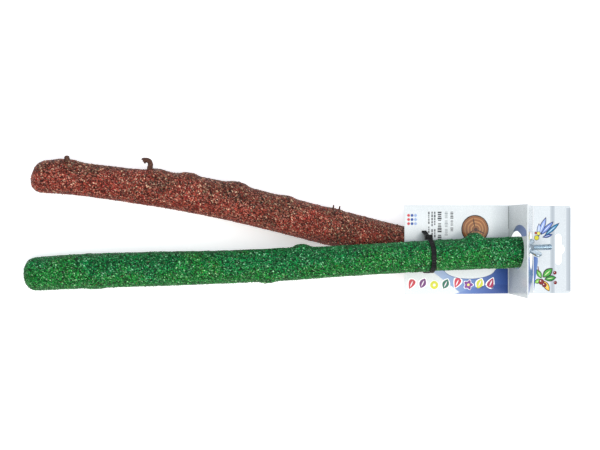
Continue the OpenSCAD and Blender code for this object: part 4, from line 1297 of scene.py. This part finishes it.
# header bands: two plain grey ones as (start, end, half width, tints), which are painted reflection, the soft
# grey bands that the varnish mirrors, and a printed blue one at the crease
bands = {"plain": [(153.4, 158.2, 45.2, ["#bcc4c9", "#a9b1b8", "#b7bfc5"]),
                   (170.8, 175.5, 43.0, ["#bcc3c9", "#a0a8af"])],
         "blue": {"from": 0.3, "to": 4.6, "low": (-43, 30), "high": (-7, -1.5),
                  "tints": ["#3d63a6", "#6f8cc0"]}}


def bandStrips():
    # the blue band tapers: each edge is start + change * share
    blue = bands["blue"]
    s = np.linspace(creaseX + blue["from"], creaseX + blue["to"], 8)
    low, high = (start + change * (s - s[0]) / (s[-1] - s[0]) for start, change in (blue["low"], blue["high"]))
    out = [inkStrip(headerSheet, s, low, high, blue["tints"])]
    # the two grey bands are painted reflection of the room in the header's varnish
    for start, end, half, tints in bands["plain"]:
        s = np.linspace(start, end, 8)
        out.append(inkStrip(headerSheet, s, 0 * s - half, 0 * s + half, tints))
    return out


for sheet, name, strips, patches in (
        (rootSheet, "panel_wave_print", waveStrips(), []),
        (rootSheet, "panel_slice_print", [], slicePatches()),
        (rootSheet, "panel_row_print", [], rowPatches()),
        (rootSheet, "panel_rule_print", [], barPatches()),
        (rootSheet, "tent_print_and_painted_shade", tentStrips(), tentPaintedShade()),
        (headerSheet, "header_print_and_painted_reflection", bandStrips(), []),
        (headerSheet, "header_sprig_print", [], sprigPatches())):
    prints = strips + [inkPatch(sheet, *patch) for patch in patches]
    points, faces = joined([(p, f) for p, f, colours in prints])
    makePiece(name, sheet, points, faces, ink, "printed_board", crease=card["crease"],
              colours=np.vstack([colours for p, f, colours in prints]))
print("prints made")


# Camera, floor and light

view = {"focal": 697.0, "pastTilt": 5.0, "edgePixel": (404.5, 249.85), "edgeDepth": 0.708,
        "frame": (600, 450), "sensor": 36.0, "near": 0.01, "far": 20.0}
studio = {"floorReach": 6.0, "floor": "#fbfbfb", "floorGlow": 0.35, "sky": "#f6f9ff", "skyGlow": 0.55,
          "softboxes": {"key": {"at": (0.1, -0.45, 1.3), "size": 1.0, "watts": 13, "tint": "#fffdf8"},
                        "fill": {"at": (0.0, 0.8, 1.4), "size": 1.4, "watts": 9.5, "tint": "#f2f6ff"}}}


def turnTo(thing, side, over, back, place):
    # the object's own X, Y and Z lie along side, over and back
    thing.matrix_world = Matrix([[side[k], over[k], back[k], place[k]] for k in range(3)] + [[0, 0, 0, 1]])


lean = math.atan2(cardAlong[2], cardAlong[0]) + math.radians(view["pastTilt"])
forward = np.array([math.sin(lean), 0, -math.cos(lean)])
right = np.array([math.cos(lean), 0, math.sin(lean)])
up = np.array([0, 1.0, 0])
u = (view["edgePixel"][0] - view["frame"][0] / 2) / view["focal"]
v = (view["frame"][1] / 2 - view["edgePixel"][1]) / view["focal"]
lens = bpy.data.cameras.new("camera")
lens.sensor_width = view["sensor"]
lens.lens = view["focal"] / view["frame"][0] * view["sensor"]
lens.clip_start = view["near"]
lens.clip_end = view["far"]
camera = addObject("camera", lens)
turnTo(camera, right, up, -forward, cardOrigin - (forward + right * u + up * v) * view["edgeDepth"])
bpy.context.scene.camera = camera

# Seamless white paper, uncoated: dull and bright, and it glows a little so that it stays white
floorMaterial, floorTree = startMaterial("studio_floor")[:2]
finishMaterial(floorTree, {"Base Color": linear(studio["floor"]), "Roughness": 0.9,
                           "Emission Color": (1, 1, 1, 1), "Emission Strength": studio["floorGlow"]})
floorMesh = bpy.data.meshes.new("floor")
reach = studio["floorReach"]
floorMesh.from_pydata([(-reach, -reach, 0), (reach, -reach, 0), (reach, reach, 0), (-reach, reach, 0)], [],
                      [(0, 1, 2, 3)])
floorMesh.materials.append(floorMaterial)
addObject("floor", floorMesh)

for name, box in studio["softboxes"].items():
    # a square softbox that faces the middle of the set
    lamp = bpy.data.lights.new(name, "AREA")
    lamp.size = box["size"]
    lamp.energy = box["watts"]
    lamp.color = linear(box["tint"])[:3]
    back = unit(np.array(box["at"]))
    side = unit(np.cross([0, 1.0, 0], back))
    light = addObject(name, lamp)
    turnTo(light, side, np.cross(back, side), back, box["at"])

world = bpy.data.worlds.new("studio")
world.use_nodes = True
background = world.node_tree.nodes["Background"]
background.inputs["Color"].default_value = linear(studio["sky"])
background.inputs["Strength"].default_value = studio["skyGlow"]
bpy.context.scene.world = world
bpy.context.scene.view_settings.view_transform = "Standard"
print("camera and light set")
